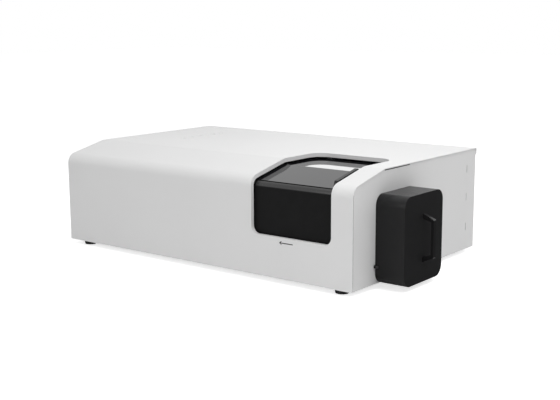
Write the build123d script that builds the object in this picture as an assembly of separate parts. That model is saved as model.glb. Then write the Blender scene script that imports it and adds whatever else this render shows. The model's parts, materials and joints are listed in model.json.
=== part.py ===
import os
from math import atan2, cos, degrees, pi, sin, sqrt, tan

from build123d import *

os.makedirs("parts", exist_ok=True)

# Bench-top double-beam spectrophotometer, drawn in millimetres.
# X runs along the front to the right, Y from front to back, Z up.
# While it is drawn, zero is the lower front left corner of the sheet-metal body.

# Sheet-metal body
body_width = 1000
body_depth = 620
body_height = 281
foot_height = 14
slope_drop = 31.5              # from the top down to where the slope's line meets the front
slope_depth = 140              # how far back the slope reaches the flat top
front_bend_radius = 30
crest_bend_radius = 8
inner_bend_radius = 1.5
cover_sheet = 2
panel_sheet = 2
tray_sheet = 2.5
panel_gap = 0.8                # seam round a side panel
panel_inset = 1.5              # side panel behind the cover's cut edge
rear_recess = 8                # rear panel inside the cover's rear edge

# Opening over the sample compartment, and the lid that closes it
opening_end_room = 61.5        # from the opening's right edge to the body's right end
opening_width = 245.5
sill_below_beam = 19.5
opening_back = 286
opening_front_corner = 20
opening_back_corner = 40
flange_depth = 10.5
lid_recess = 16
lid_sheet = 2
lid_side_overlap = 12
lid_sill_overlap = 11
lid_back_overlap = 12
lid_travel = 195

# Light path, and the detector module on the right side
beam_height = 125
beam_spacing = 60
beam_bore = 20
module_front = 101.5
module_depth = 183
module_above_beam = 97
module_protrusion = 80
module_corner = 28
module_wall = 3
module_grip_height = 30

# Fits and small sizes that many pieces share
fit_gap = 0.3                  # between pieces of two bodies that lie beside each other
shaft_clearance = 0.05         # round a turning or sliding shaft
overrun = 5                    # how far a cutting tool passes its face
edge_round = 1

slope_foot_height = body_height - slope_drop
opening_right = body_width - opening_end_room
opening_left = opening_right - opening_width
opening_sill = beam_height - sill_below_beam
module_height = beam_height + module_above_beam
slope_angle = atan2(body_height - slope_foot_height, slope_depth)
ceiling = body_height - cover_sheet
tray_lift = panel_sheet
tray_top = tray_lift + tray_sheet
module_back = module_front + module_depth
beam_middle = (module_front + module_back) / 2
sample_beam = beam_middle - beam_spacing / 2
reference_beam = beam_middle + beam_spacing / 2
beam_lines = (sample_beam, reference_beam)

pieces = {}


def span(start, size):
    return (start, start + size)


def about(middle, size):
    return (middle - size / 2, middle + size / 2)


def grow(ends, amount):
    return (ends[0] - amount, ends[1] + amount)


def block(x, y, z):
    # a box between the low and high ends given for each axis
    size = [high - low for low, high in (x, y, z)]
    return Pos(x[0], y[0], z[0]) * Box(*size, align=(Align.MIN, Align.MIN, Align.MIN))


def rod(start, direction, radius, length):
    # a round bar from its start point along a direction
    bar = Cylinder(radius, length, align=(Align.CENTER, Align.CENTER, Align.MIN))
    return Plane(origin=start, z_dir=direction) * bar


def bore(start, direction, radius, length):
    # a round cutter that passes both ends of its length
    back = tuple(place - overrun * part for place, part in zip(start, direction))
    return rod(back, direction, radius, length + 2 * overrun)


def outline(points, corners=()):
    # a closed face through the points, with some corners rounded
    face = make_face(Polyline(*points, close=True))
    for point, radius in corners:
        nearest = face.vertices().sort_by_distance(Vector(*point))[0]
        face = fillet(nearest, radius)
    return face


def panel(a, b, radius=0):
    # a flat rectangle between low and high ends, with round corners if asked
    size = (a[1] - a[0], b[1] - b[0])
    middle = Pos((a[0] + a[1]) / 2, (b[0] + b[1]) / 2)
    if radius:
        return middle * RectangleRounded(*size, radius)
    return middle * Rectangle(*size)


def along_x(face, x):
    return extrude(Plane.YZ.offset(x[0]) * face, amount=x[1] - x[0])


def along_y(face, y):
    return extrude(Plane.XZ.offset(-y[0]) * face, amount=y[0] - y[1])


def along_z(face, z):
    return extrude(Plane.XY.offset(z[0]) * face, amount=z[1] - z[0])


def slot_face(middle, length, width, upright=False):
    turn = 90 if upright else 0
    return Pos(*middle) * Rot(0, 0, turn) * SlotOverall(length, width)


def facing(shape, turn, place):
    # turn a shape that is drawn facing along X, then set it in place
    return Pos(*place) * Rot(0, 0, turn) * shape


def body_profile(inset, back, bottom):
    # side outline of the body, drawn in square to the sheet by the inset
    lift = inset / cos(slope_angle)
    bend = (inset, slope_foot_height + inset * tan(slope_angle) - lift)
    top = body_height - inset
    crest = ((top - slope_foot_height + lift) / tan(slope_angle), top)
    points = [(inset, bottom), bend, crest, (back, top), (back, bottom)]
    corners = [
        (bend, max(front_bend_radius - inset, inner_bend_radius)),
        (crest, max(crest_bend_radius - inset, inner_bend_radius)),
    ]
    return outline(points, corners)


def skin(x, outer, inner, back, bottom):
    # the folded layer between two insets: front wall, slope and top
    solid = along_x(body_profile(outer, back, bottom), x)
    inside = body_profile(inner, back + overrun, bottom - overrun)
    return solid - along_x(inside, grow(x, overrun))


def on_slope(distance, inset):
    # height of the slope at this distance back, on the layer at this inset
    return slope_foot_height + distance * tan(slope_angle) - inset / cos(slope_angle)


# Top cover: one folded sheet with front, slope and top, its opening flanged inwards
cover_lip = 9
cover_lip_end = 20
cover_rear_flange = 18
louvre_line = 175              # row of pressed louvres over the lamp house
louvre_first = 296
louvre_pitch = 34
louvre_count = 6
louvre_width = 15
louvre_length = 13
louvre_rise = 3
louvre_slot = 4
louvre_sheet = 0.8
cover_x = (0, body_width)


def opening_tool(margin):
    # the space of the opening, grown all round by the margin
    x = grow((opening_left, opening_right), margin)
    sill = opening_sill - margin
    high = body_height + overrun
    low_corners = [(x[0], sill), (x[1], sill)]
    front_radius = opening_front_corner + margin
    front_points = low_corners + [(x[1], high), (x[0], high)]
    front = outline(front_points, [(point, front_radius) for point in low_corners])
    middle = slope_depth / 2
    back_radius = opening_back_corner + margin
    back_corners = [(x[1], opening_back + margin), (x[0], opening_back + margin)]
    top_points = [(x[0], middle), (x[1], middle)] + back_corners
    top = outline(top_points, [(point, back_radius) for point in back_corners])
    floor = (opening_sill + slope_foot_height) / 2
    return along_y(front, (-overrun, slope_depth)) + along_z(top, (floor, high))


def louvre(start):
    # a small hood pressed up from the top, open at its back
    x = about(louvre_line, louvre_width)
    end = start + louvre_length
    ramp = outline([(start, body_height), (end, body_height), (end, body_height + louvre_rise)])
    inner_rise = louvre_rise - louvre_sheet
    inner_start = end - louvre_length * inner_rise / louvre_rise
    inner_points = [(inner_start, body_height), (end + overrun, body_height)]
    inner_points += [(end + overrun, body_height + inner_rise), (end, body_height + inner_rise)]
    return along_x(ramp, x) - along_x(outline(inner_points), grow(x, -louvre_sheet))


def top_cover():
    cover = skin(cover_x, 0, cover_sheet, body_depth, 0)
    cover += block(grow(cover_x, -cover_lip_end), span(cover_sheet, cover_lip), (0, cover_sheet))
    rear = (body_depth - cover_sheet, body_depth)
    cover += block(cover_x, rear, (body_height - cover_rear_flange, ceiling))
    cover -= opening_tool(0)
    near = grow((opening_left, opening_right), 2 * cover_sheet)
    layer = skin(near, 0, flange_depth, opening_back + 2 * cover_sheet, 0)
    cover += layer & (opening_tool(cover_sheet) - opening_tool(0))
    slot_x = about(louvre_line, louvre_width - 2 * louvre_sheet)
    for number in range(louvre_count):
        start = louvre_first + number * louvre_pitch
        cover += louvre(start)
        end = start + louvre_length
        cover -= block(slot_x, (end - louvre_slot, end), (ceiling - overrun, body_height))
    return cover


pieces["top_cover"] = top_cover()


# Side panels: shallow pans that stand inside the ends of the cover
pan_depth = 14
side_slot_inset = 52
side_slot_length = 22
side_slot_width = 3
side_slot_shares = (0.2313, 0.53025, 0.8114)
port_margin = 11.5             # rim of the side panel that backs the module's wall
port_bottom = 14
port_top_rim = 12
port_corner = 12
catch_height = 45
catch_radius = 3
catch_shank = 1.5
pan_outer = cover_sheet + panel_gap
pan_back = body_depth - pan_outer
port_y = (module_front + port_margin, module_back - port_margin)
port_z = (port_bottom, module_height - port_top_rim)
left_face = panel_inset
right_face = body_width - panel_inset
catch_line = module_front - catch_radius - edge_round


def side_pan(face, inward):
    # inward is 1 for the left panel and -1 for the right one
    def between(start, end):
        return tuple(sorted((face + inward * start, face + inward * end)))

    solid = along_x(body_profile(pan_outer, pan_back, 0), between(0, pan_depth))
    inner = body_profile(pan_outer + panel_sheet, pan_back - panel_sheet, panel_sheet)
    pan = solid - along_x(inner, between(panel_sheet, pan_depth + overrun))
    for share in side_slot_shares:
        place = (body_depth - side_slot_inset, body_height * share)
        slot = slot_face(place, side_slot_length, side_slot_width, upright=True)
        pan -= along_x(slot, between(-overrun, panel_sheet + overrun))
    return pan


def right_side_panel():
    through = (right_face - pan_depth / 2, right_face + overrun)
    pan = side_pan(right_face, -1) - along_x(panel(port_y, port_z, port_corner), through)
    hole_start = (right_face - panel_sheet, catch_line, catch_height)
    return pan - bore(hole_start, (1, 0, 0), catch_shank + fit_gap, panel_sheet)


pieces["left_side_panel"] = side_pan(left_face, 1)
pieces["right_side_panel"] = right_side_panel()


# Sizes of the lid and of the sliders under it
lid_window_front = 27          # where the window starts, just behind the front bend
lid_window_border = 6          # of the shell beside the window, hidden under the cover
lid_window_gap = 0.8
retainer_sheet = 2
retainer_overlap = 5
lid_flange = 18
slider_length = 22
slider_inset = 18
slider_foot = 8
slider_stem = 4
slider_drop = 13.5
slider_lap = 15
lid_x = grow((opening_left, opening_right), lid_side_overlap)
lid_bottom = opening_sill - lid_sill_overlap
lid_back = opening_back + lid_back_overlap
lid_inner = lid_recess + lid_sheet
lid_window_x = grow(lid_x, -lid_window_border)
lid_window_y = (lid_window_front, lid_back - lid_window_border - lid_sheet)


# Sample compartment: a black tub with a beam port through both side walls
tub_sheet = 2
tub_side_room = 4              # between the opening's edge and the tub's wall
tub_back_room = 1
tub_below_beam = 29
tub_inset = 23.5               # tub's rim under the lid, measured from the cover's face
seal_thickness = 2.8
tub_sill = 6
post_radius = 5
post_inset = 18
post_front = 30
tub_x = grow((opening_left, opening_right), tub_side_room + tub_sheet)
tub_inner_x = grow(tub_x, -tub_sheet)
tub_back = opening_back + tub_back_room + tub_sheet
tub_floor = beam_height - tub_below_beam
tub_top = tub_floor + tub_sheet


def compartment_tub():
    tub = along_x(body_profile(tub_inset, tub_back, tub_floor), tub_x)
    inside_y = (tub_inset - overrun, tub_back - tub_sheet)
    tub -= block(tub_inner_x, inside_y, (tub_top, body_height))
    tub += block(tub_inner_x, span(tub_inset, tub_sheet), (tub_top, tub_top + tub_sill))
    for y in beam_lines:
        tub -= bore((tub_x[0], y, beam_height), (1, 0, 0), beam_bore / 2, tub_x[1] - tub_x[0])
    return tub


def compartment_seal():
    # foam on the tub's rim, against which the closed lid lies
    bottom = lid_bottom + slider_lap + edge_round
    layer = skin(tub_x, tub_inset - seal_thickness, tub_inset, tub_back, bottom)
    return layer - block(tub_inner_x, (0, tub_back - tub_sheet), (tub_top, body_height))


def tub_posts():
    return [
        rod((x, y, tray_top), (0, 0, 1), post_radius, tub_floor - tray_top)
        for x in grow(tub_x, -post_inset)
        for y in (tub_inset + post_front, tub_back - 2 * post_radius)
    ]


pieces["compartment_tub"] = compartment_tub()
pieces["compartment_seal"] = compartment_seal()
pieces["tub_posts"] = tub_posts()


# Rings and silica windows for the two beams on both walls of the tub
ring_radius = 17
ring_length = 6
window_radius = 12.5
window_thickness = 3


def beam_ports():
    rings = []
    windows = []
    for y in beam_lines:
        for wall_x, way in ((tub_inner_x[0], 1), (tub_inner_x[1], -1)):
            seat = (wall_x, y, beam_height)
            ring = rod(seat, (way, 0, 0), ring_radius, ring_length)
            pocket = (wall_x + way * (ring_length - window_thickness), y, beam_height)
            window = rod(pocket, (way, 0, 0), window_radius, window_thickness)
            rings.append(ring - bore(seat, (way, 0, 0), beam_bore / 2, ring_length) - window)
            windows.append(window)
    return rings, windows


pieces["beam_port_rings"], pieces["beam_windows"] = beam_ports()


# Lid: a folded black shell with a smoked window over slope and top
def window_room(margin):
    # the upright prism over the window, grown by the margin
    return block(grow(lid_window_x, margin), grow(lid_window_y, margin), (opening_sill, body_height))


def lid_layer():
    return skin(lid_x, lid_recess, lid_inner, lid_back, lid_bottom)


def lid_shell():
    top = body_height - lid_inner
    flange = block(lid_x, (lid_back - lid_sheet, lid_back), (top - lid_flange, top))
    return lid_layer() + flange - window_room(lid_window_gap)


def lid_retainer():
    # a thin frame behind shell and window that holds the window
    layer = skin(lid_x, lid_inner, lid_inner + retainer_sheet, lid_back - lid_sheet, lid_bottom)
    return (layer & window_room(retainer_overlap - lid_window_gap)) - window_room(-retainer_overlap)


pieces["lid_shell"] = lid_shell()
pieces["lid_window"] = lid_layer() & window_room(0)
pieces["lid_window_retainer"] = lid_retainer()


def grip_face(length, rise, arm_run, bar, arm):
    # side outline of a bridge handle: slanting arms and a straight bar
    half = length / 2
    outer = [(-half, 0), (arm_run - half, rise), (half - arm_run, rise), (half, 0)]
    under = half - arm_run - arm / 2
    inner = [(half - arm, 0), (under, rise - bar), (-under, rise - bar), (arm - half, 0)]
    return outline(outer + inner, [(outer[1], bar / 2), (outer[2], bar / 2)])


# Low bridge handle on the lid's slope, near its right edge
lid_grip_length = 106
lid_grip_rise = 14
lid_grip_run = 8
lid_grip_bar = 4
lid_grip_arm = 9
lid_grip_width = 10
lid_grip_inset = 14            # middle of the handle from the opening's right edge
lid_grip_middle = 88           # middle of the handle behind the front


def lid_handle():
    face = grip_face(lid_grip_length, lid_grip_rise, lid_grip_run, lid_grip_bar, lid_grip_arm)
    middle = (lid_grip_middle, on_slope(lid_grip_middle, lid_recess))
    face = Pos(*middle) * Rot(0, 0, degrees(slope_angle)) * face
    return along_x(face, about(opening_right - lid_grip_inset, lid_grip_width))


pieces["lid_handle"] = lid_handle()


# Sliders under the lid and the two grooved rails that carry them
rail_wall = 2
rail_depth = 11
rail_end = 15
hanger_width = 24
hanger_sheet = 2
hanger_foot = 22
slider_places = (lid_x[0] + slider_inset, lid_x[1] - slider_inset - slider_length)
front_slider_y = (lid_recess - slider_foot / 2, lid_inner + slider_stem)
front_slider_z = lid_bottom - slider_drop
rear_foot_top = body_height - lid_inner - lid_flange
rear_slider_y = (lid_back - lid_sheet - slider_foot / 2, lid_back + slider_stem)
rear_slider_z = rear_foot_top - slider_drop
rail_x = (slider_places[0] - lid_travel - rail_end, slider_places[1] + slider_length + rail_end)
hanger_places = (rail_x[0] + hanger_width, sum(rail_x) / 2, rail_x[1] - hanger_width)


def slider(x, y, bottom, edge, stem_y):
    # a foot under the sheet's edge with a stem that lies against the sheet
    foot = block(x, y, (bottom, edge))
    return foot + block(x, stem_y, (edge, edge + slider_lap))


def lid_sliders():
    shapes = []
    for start in slider_places:
        x = span(start, slider_length)
        front_stem = span(lid_inner, slider_stem)
        shapes.append(slider(x, front_slider_y, front_slider_z, lid_bottom, front_stem))
        rear_stem = span(lid_back, slider_stem)
        shapes.append(slider(x, rear_slider_y, rear_slider_z, rear_foot_top, rear_stem))
    return shapes


def rail(slider_y, slider_z):
    # an upright channel with closed ends in which the sliders' feet run
    outer_y = grow(slider_y, fit_gap + rail_wall)
    floor = slider_z - fit_gap - rail_wall
    channel = block(rail_x, outer_y, (floor, floor + rail_depth))
    groove_x = grow(rail_x, -rail_end / 2)
    return channel - block(groove_x, grow(slider_y, fit_gap), (floor + rail_wall, body_height))


def lid_rails():
    # both rails with the brackets that hang them from the inside of the cover
    lower = rail(front_slider_y, front_slider_z)
    upper = rail(rear_slider_y, rear_slider_z)
    lower_floor = front_slider_z - fit_gap - rail_wall
    upper_floor = rear_slider_z - fit_gap - rail_wall
    rear_face = rear_slider_y[1] + fit_gap + rail_wall
    shelf_z = (lower_floor - hanger_sheet, lower_floor)
    for middle in hanger_places:
        x = about(middle, hanger_width)
        lower += block(x, (cover_sheet, front_slider_y[1]), shelf_z)
        lower += block(x, span(cover_sheet, hanger_sheet), (lower_floor - hanger_foot, lower_floor))
        upper += block(x, span(rear_face, hanger_sheet), (upper_floor, ceiling))
        upper += block(x, span(rear_face, hanger_foot), (ceiling - hanger_sheet, ceiling))
    return [lower, upper]


pieces["lid_sliders"] = lid_sliders()
pieces["lid_rails"] = lid_rails()


# Cell base plate and the two cell holders in the compartment
cell_plate_length = 110
cell_plate_depth = 130
cell_plate_thickness = 4
holder_size = 30
holder_height = 46
cell_size = 12.6
cell_floor_below_beam = 15
holder_window = 8
holder_slot = 5
compartment_middle = (opening_left + opening_right) / 2
cell_plate_top = tub_top + cell_plate_thickness


def cell_base_plate():
    plate_x = about(compartment_middle, cell_plate_length)
    plate_y = about(beam_middle, cell_plate_depth)
    plate = along_z(panel(plate_x, plate_y, holder_slot), (tub_top, cell_plate_top))
    for way in (-1, 1):
        middle = (compartment_middle + way * cell_plate_length / 3, beam_middle)
        slot = slot_face(middle, cell_plate_depth / 2, holder_slot, upright=True)
        plate -= along_z(slot, grow((tub_top, cell_plate_top), overrun))
    return plate


def cell_holder(y):
    # a block with a square well for the cell and a window along the beam
    x = about(compartment_middle, holder_size)
    top = cell_plate_top + holder_height
    well_floor = beam_height - cell_floor_below_beam
    body = along_z(panel(x, about(y, holder_size), 2 * edge_round), (cell_plate_top, top))
    well_x = about(compartment_middle, cell_size)
    body -= block(well_x, about(y, cell_size), (well_floor, top + overrun))
    window_z = (well_floor + holder_slot, top - holder_slot)
    body -= block(grow(x, overrun), about(y, holder_window), window_z)
    return body - block(well_x, (y - holder_size, y), (top - 2 * holder_slot, top + overrun))


pieces["cell_base_plate"] = cell_base_plate()
pieces["cell_holders"] = [cell_holder(y) for y in beam_lines]


# Optical bench: a ribbed cast plate on four rubber mounts
bench_room = 45
bench_rear_room = 60
bench_tub_gap = 9
bench_bottom = 24
bench_top = 42
bench_plate = 8
bench_rib = 8
bench_bays = (4, 3)
mount_inset = 40
mount_radius = 16
bench_x = (bench_room, tub_x[0] - bench_tub_gap)
bench_y = (bench_room, body_depth - bench_rear_room)


def optical_bench():
    bench = block(bench_x, bench_y, (bench_bottom, bench_top))
    pitch_x = (bench_x[1] - bench_x[0] - bench_rib) / bench_bays[0]
    pitch_y = (bench_y[1] - bench_y[0] - bench_rib) / bench_bays[1]
    bay_z = (bench_bottom - overrun, bench_top - bench_plate)
    for column in range(bench_bays[0]):
        for row in range(bench_bays[1]):
            bay_x = span(bench_x[0] + bench_rib + column * pitch_x, pitch_x - bench_rib)
            bay_y = span(bench_y[0] + bench_rib + row * pitch_y, pitch_y - bench_rib)
            bench -= block(bay_x, bay_y, bay_z)
    return bench


def bench_mounts():
    # each mount carries the bench's plate inside one of its corner bays
    height = bench_top - bench_plate - tray_top
    return [
        rod((x, y, tray_top), (0, 0, 1), mount_radius, height)
        for x in grow(bench_x, -mount_inset)
        for y in grow(bench_y, -mount_inset)
    ]


pieces["optical_bench"] = optical_bench()
pieces["bench_mounts"] = bench_mounts()


# Double monochromator: a cast box with two chambers and a screwed cover
chopper_room = 68
mono_length_share = 0.56872    # of the bench
chamber_depth = 156
mono_rise_share = 1 / 3        # of the height from the beam up to the body's top
mono_wall = 8
mono_floor = 10
mono_cover_thickness = 8
mono_cover_rib = 4
mono_corner = 12
slit_gate = (6, 18)
slit_drop = 22                 # slit disc's axis below the beam
shaft_hole = 5
bench_length = bench_x[1] - bench_x[0]
mono_end = bench_x[1] - chopper_room
mono_x = (mono_end - bench_length * mono_length_share, mono_end)
mono_top = beam_height + (body_height - beam_height) * mono_rise_share
mono_inner_x = grow(mono_x, -mono_wall)
chamber_front = about(sample_beam, chamber_depth)
chamber_rear = span(chamber_front[1] + mono_wall, chamber_depth)
mono_y = (chamber_front[0] - mono_wall, chamber_rear[1] + mono_wall)
mono_floor_top = bench_top + mono_floor
grating_lines = (sample_beam, sum(chamber_rear) / 2)
exit_line, entrance_line = grating_lines
slit_axis_height = beam_height - slit_drop
slit_walls = ((mono_x[0], entrance_line), (mono_inner_x[1], exit_line))


def monochromator_housing():
    box = along_z(panel(mono_x, mono_y, mono_corner), (bench_top, mono_top))
    for chamber in (chamber_front, chamber_rear):
        inner = panel(mono_inner_x, chamber, mono_corner / 2)
        box -= along_z(inner, (mono_floor_top, mono_top + overrun))
    gate_z = about(beam_height, slit_gate[1])
    between = (chamber_front[1] - overrun, chamber_rear[0] + overrun)
    box -= block(about(sum(mono_x) / 2, slit_gate[0]), between, gate_z)
    for wall, y in slit_walls:
        box -= block(grow(span(wall, mono_wall), overrun), about(y, slit_gate[0]), gate_z)
        box -= bore((wall, y, slit_axis_height), (1, 0, 0), shaft_hole, mono_wall)
    return box


def monochromator_cover():
    plate_z = span(mono_top, mono_cover_thickness)
    cover = along_z(panel(mono_x, mono_y, mono_corner), plate_z)
    for middle in grating_lines:
        rib_z = span(plate_z[1], mono_cover_rib)
        cover += block(grow(mono_x, -mono_corner), about(middle, mono_wall), rib_z)
    return cover


pieces["monochromator_housing"] = monochromator_housing()
pieces["monochromator_cover"] = monochromator_cover()


# Two gratings, each on its own turntable driven directly by a stepping motor
grating_back_room = 82         # from the chamber's end wall to the turning axis
grating_motor_size = 42
grating_motor_height = 34
spindle_radius = 3
spindle_depth = 20
turntable_radius = 34
turntable_thickness = 5
turntable_lift = 2
grating_size = 58
grating_thickness = 10
grating_backing = 4
grating_toe = 7
grating_x = mono_inner_x[0] + grating_back_room
motor_top = mono_floor_top + grating_motor_height
table_bottom = motor_top + turntable_lift
table_top = table_bottom + turntable_thickness


def grating_motor(y):
    size = grating_motor_size
    face = panel(about(grating_x, size), about(y, size), 4 * edge_round)
    start = (grating_x, y, motor_top - spindle_depth)
    hole = bore(start, (0, 0, 1), spindle_radius + shaft_clearance, spindle_depth)
    return along_z(face, (mono_floor_top, motor_top)) - hole


def turntable(y):
    table = rod((grating_x, y, table_bottom), (0, 0, 1), turntable_radius, turntable_thickness)
    spindle_start = (grating_x, y, motor_top - spindle_depth)
    table += rod(spindle_start, (0, 0, 1), spindle_radius, spindle_depth + turntable_lift)
    width = about(y, grating_size)
    back_x = span(grating_x - grating_thickness - grating_backing, grating_backing)
    table += block(back_x, width, span(table_top, grating_size))
    toe_x = (back_x[1], grating_x + grating_toe)
    return table + block(toe_x, width, span(table_top, grating_backing))


def grating(y):
    face_x = (grating_x - grating_thickness, grating_x)
    height = span(table_top + grating_backing, grating_size - grating_backing)
    return block(face_x, about(y, grating_size), height)


for number, line in enumerate(grating_lines, start=1):
    pieces[f"grating_turntable_{number}"] = turntable(line)
    pieces[f"grating_{number}"] = grating(line)


# Entrance and exit slits: thin discs with slits of several widths, each on a small motor
slit_disc_radius = 30
slit_disc_thickness = 1.5
slit_disc_gap = 4
slit_hub_radius = 6
slit_count = 6
slit_length = 10
slit_first_width = 1
slit_width_step = 0.6
slit_shaft_radius = 2
slit_motor_radius = 11
slit_motor_length = 18
slit_sets = {
    "entrance": (mono_x[0], -1, entrance_line),
    "exit": (mono_x[1], 1, exit_line),
}


def slit_motor(wall, way, y):
    # the motor sits on the inner face of the wall, its shaft passes out through it
    seat = (wall - way * mono_wall, y, slit_axis_height)
    motor = rod(seat, (-way, 0, 0), slit_motor_radius, slit_motor_length)
    hole_radius = slit_shaft_radius + shaft_clearance
    return motor - rod(seat, (-way, 0, 0), hole_radius, slit_motor_length - edge_round)


def slit_disc(wall, way, y):
    face = wall + way * slit_disc_gap
    middle = (face, y, slit_axis_height)
    disc = rod(middle, (way, 0, 0), slit_disc_radius, slit_disc_thickness)
    for number in range(slit_count):
        width = slit_first_width + number * slit_width_step
        slit = block(about(0, 2 * overrun), about(0, width), about(slit_drop, slit_length))
        disc -= Pos(*middle) * Rot(360 / slit_count * number, 0, 0) * slit
    shaft_length = slit_disc_gap + mono_wall + slit_motor_length / 2
    disc += rod(middle, (-way, 0, 0), slit_shaft_radius, shaft_length)
    hub_start = (face + way * slit_disc_thickness, y, slit_axis_height)
    return disc + rod(hub_start, (way, 0, 0), slit_hub_radius, slit_disc_thickness)


for name, place in slit_sets.items():
    pieces[f"{name}_slit_disc"] = slit_disc(*place)


# Lamp house with its vented lid, under the louvres of the cover
wheel_room = 35
lamp_house_share = 0.21327     # of the bench
lamp_house_depth = 240
lamp_house_front = 87          # from the beam to the front wall
lamp_house_top = 190
lamp_sheet = 2
lamp_lid_slots = 7
lamp_lid_slot = (70, 6)
lamp_exit_radius = 10
lamp_house_end = mono_x[0] - wheel_room
lamp_house_x = (lamp_house_end - bench_length * lamp_house_share, lamp_house_end)
lamp_house_y = span(entrance_line - lamp_house_front, lamp_house_depth)
lamp_floor = bench_top + lamp_sheet


def lamp_house():
    house = block(lamp_house_x, lamp_house_y, (bench_top, lamp_house_top))
    inside = (grow(lamp_house_x, -lamp_sheet), grow(lamp_house_y, -lamp_sheet))
    house -= block(*inside, (lamp_floor, lamp_house_top + overrun))
    exit_start = (lamp_house_x[1] - lamp_sheet, entrance_line, beam_height)
    return house - bore(exit_start, (1, 0, 0), lamp_exit_radius, lamp_sheet)


def lamp_house_lid():
    lid_z = span(lamp_house_top, lamp_sheet)
    lid = block(lamp_house_x, lamp_house_y, lid_z)
    pitch = lamp_house_depth / (lamp_lid_slots + 1)
    for number in range(lamp_lid_slots):
        middle = (sum(lamp_house_x) / 2, lamp_house_y[0] + (number + 1) * pitch)
        lid -= along_z(slot_face(middle, *lamp_lid_slot), grow(lid_z, overrun))
    return lid


pieces["lamp_house"] = lamp_house()
pieces["lamp_house_lid"] = lamp_house_lid()


# Deuterium lamp, halogen lamp and their sockets
deuterium_inset = (44, 35)
deuterium_size = (15, 62)
halogen_inset = (32, 30)
halogen_size = (6, 26)
socket_radius = 19
lamp_neck = 5
deuterium_place = (lamp_house_x[0] + deuterium_inset[0], lamp_house_y[1] - deuterium_inset[1])
halogen_place = (lamp_house_x[0] + halogen_inset[0], lamp_house_y[0] + halogen_inset[1])
lamp_sets = ((deuterium_place, deuterium_size), (halogen_place, halogen_size))


def source_lamps():
    # glass bulbs with domed ends, their middles at the height of the beam
    shapes = []
    for place, (radius, height) in lamp_sets:
        bulb = rod((*place, beam_height - height / 2), (0, 0, 1), radius, height)
        shapes.append(fillet(bulb.edges().sort_by(Axis.Z)[-1], radius - edge_round))
    return shapes


def lamp_sockets():
    shapes = []
    for place, (_, height) in lamp_sets:
        collar_z = beam_height - height / 2 - lamp_neck
        collar = rod((*place, collar_z), (0, 0, 1), socket_radius, lamp_neck)
        post = rod((*place, lamp_floor), (0, 0, 1), socket_radius / 2, collar_z - lamp_floor)
        shapes.append(collar + post)
    return shapes


pieces["source_lamps"] = source_lamps()
pieces["lamp_sockets"] = lamp_sockets()


# Source mirror that turns from one lamp to the other, on its motor
source_back = 50               # from the turning axis to the lamp house's exit wall
source_mirror_size = 36
source_mirror_thickness = 6
source_motor_radius = 17
source_disc_thickness = 22
source_shaft_radius = 3
source_disc_radius = 14
source_x = lamp_house_x[1] - source_back
source_disc_top = beam_height - source_mirror_size / 2
source_disc_bottom = source_disc_top - source_disc_thickness
source_motor_height = source_disc_bottom - edge_round - lamp_floor


def halfway(place):
    # direction halfway between a lamp and the beam that leaves the source mirror
    lamp = Vector(place[0] - source_x, place[1] - entrance_line).normalized()
    return degrees(atan2(lamp.Y, lamp.X + 1))


def source_motor():
    base = (source_x, entrance_line, lamp_floor)
    motor = rod(base, (0, 0, 1), source_motor_radius, source_motor_height)
    start = (source_x, entrance_line, lamp_floor + source_motor_height / 2)
    return motor - rod(start, (0, 0, 1), source_shaft_radius + shaft_clearance, source_motor_height)


def source_mirror():
    shaft_bottom = lamp_floor + source_motor_height / 2 + edge_round
    shaft_length = source_disc_top - shaft_bottom
    holder = rod((0, 0, shaft_bottom), (0, 0, 1), source_shaft_radius, shaft_length)
    disc_start = (0, 0, source_disc_bottom)
    holder += rod(disc_start, (0, 0, 1), source_disc_radius, source_disc_thickness)
    upright = span(source_disc_top, source_mirror_size)
    holder += block((-source_mirror_thickness, 0), about(0, source_mirror_size), upright)
    return facing(holder, halfway(deuterium_place), (source_x, entrance_line, 0))


pieces["source_mirror"] = source_mirror()


# Wheel of order-sorting filters between lamp house and entrance slit
wheel_radius = 40
wheel_thickness = 4
wheel_offset = 16
wheel_pitch_radius = 27
filter_radius = 9
filter_lip = 1
filter_count = 6
wheel_shaft_radius = 2.5
wheel_motor_size = 32
wheel_x = lamp_house_x[1] + wheel_offset
wheel_axis_height = beam_height + wheel_pitch_radius
wheel_middle = (wheel_x, entrance_line, wheel_axis_height)


def filter_start(number):
    angle = 2 * pi * number / filter_count - pi / 2
    y = entrance_line + wheel_pitch_radius * cos(angle)
    return (wheel_x + filter_lip, y, wheel_axis_height + wheel_pitch_radius * sin(angle))


def order_filters():
    depth = wheel_thickness - filter_lip
    starts = [filter_start(number) for number in range(filter_count)]
    return [rod(start, (1, 0, 0), filter_radius, depth) for start in starts]


def filter_wheel():
    wheel = rod(wheel_middle, (1, 0, 0), wheel_radius, wheel_thickness)
    for number in range(filter_count):
        start = filter_start(number)
        wheel -= bore(start, (1, 0, 0), filter_radius - filter_lip, wheel_thickness)
        wheel -= rod(start, (1, 0, 0), filter_radius, wheel_thickness)
    return wheel + rod(wheel_middle, (-1, 0, 0), wheel_shaft_radius, wheel_offset - edge_round)


def wheel_motor():
    size = wheel_motor_size
    motor_x = (lamp_house_x[1], wheel_x - 2 * edge_round)
    motor = block(motor_x, about(entrance_line, size), about(wheel_axis_height, size))
    start = (lamp_house_x[1] + edge_round / 2, entrance_line, wheel_axis_height)
    return motor - rod(start, (1, 0, 0), wheel_shaft_radius + shaft_clearance, wheel_offset)


pieces["filter_wheel"] = filter_wheel()
pieces["order_filters"] = order_filters()


# Chopper: a sector mirror at half a right angle to the beam, on its motor
chopper_back = 35
chopper_radius = 34
chopper_thickness = 1.5
chopper_hub = 9
chopper_reach = 25             # beam's distance from the chopper's axis
chopper_motor_size = (12, 20)
chopper_shaft_radius = 1.5
chopper_sectors = 2
chopper_turn = 135             # facing of the mirrored side, from X towards Y
post_sheet = 5
post_toe = 6
chopper_x = bench_x[1] - chopper_back
chopper_axis_height = beam_height + chopper_reach
chopper_middle = (chopper_x, exit_line, chopper_axis_height)


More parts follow.
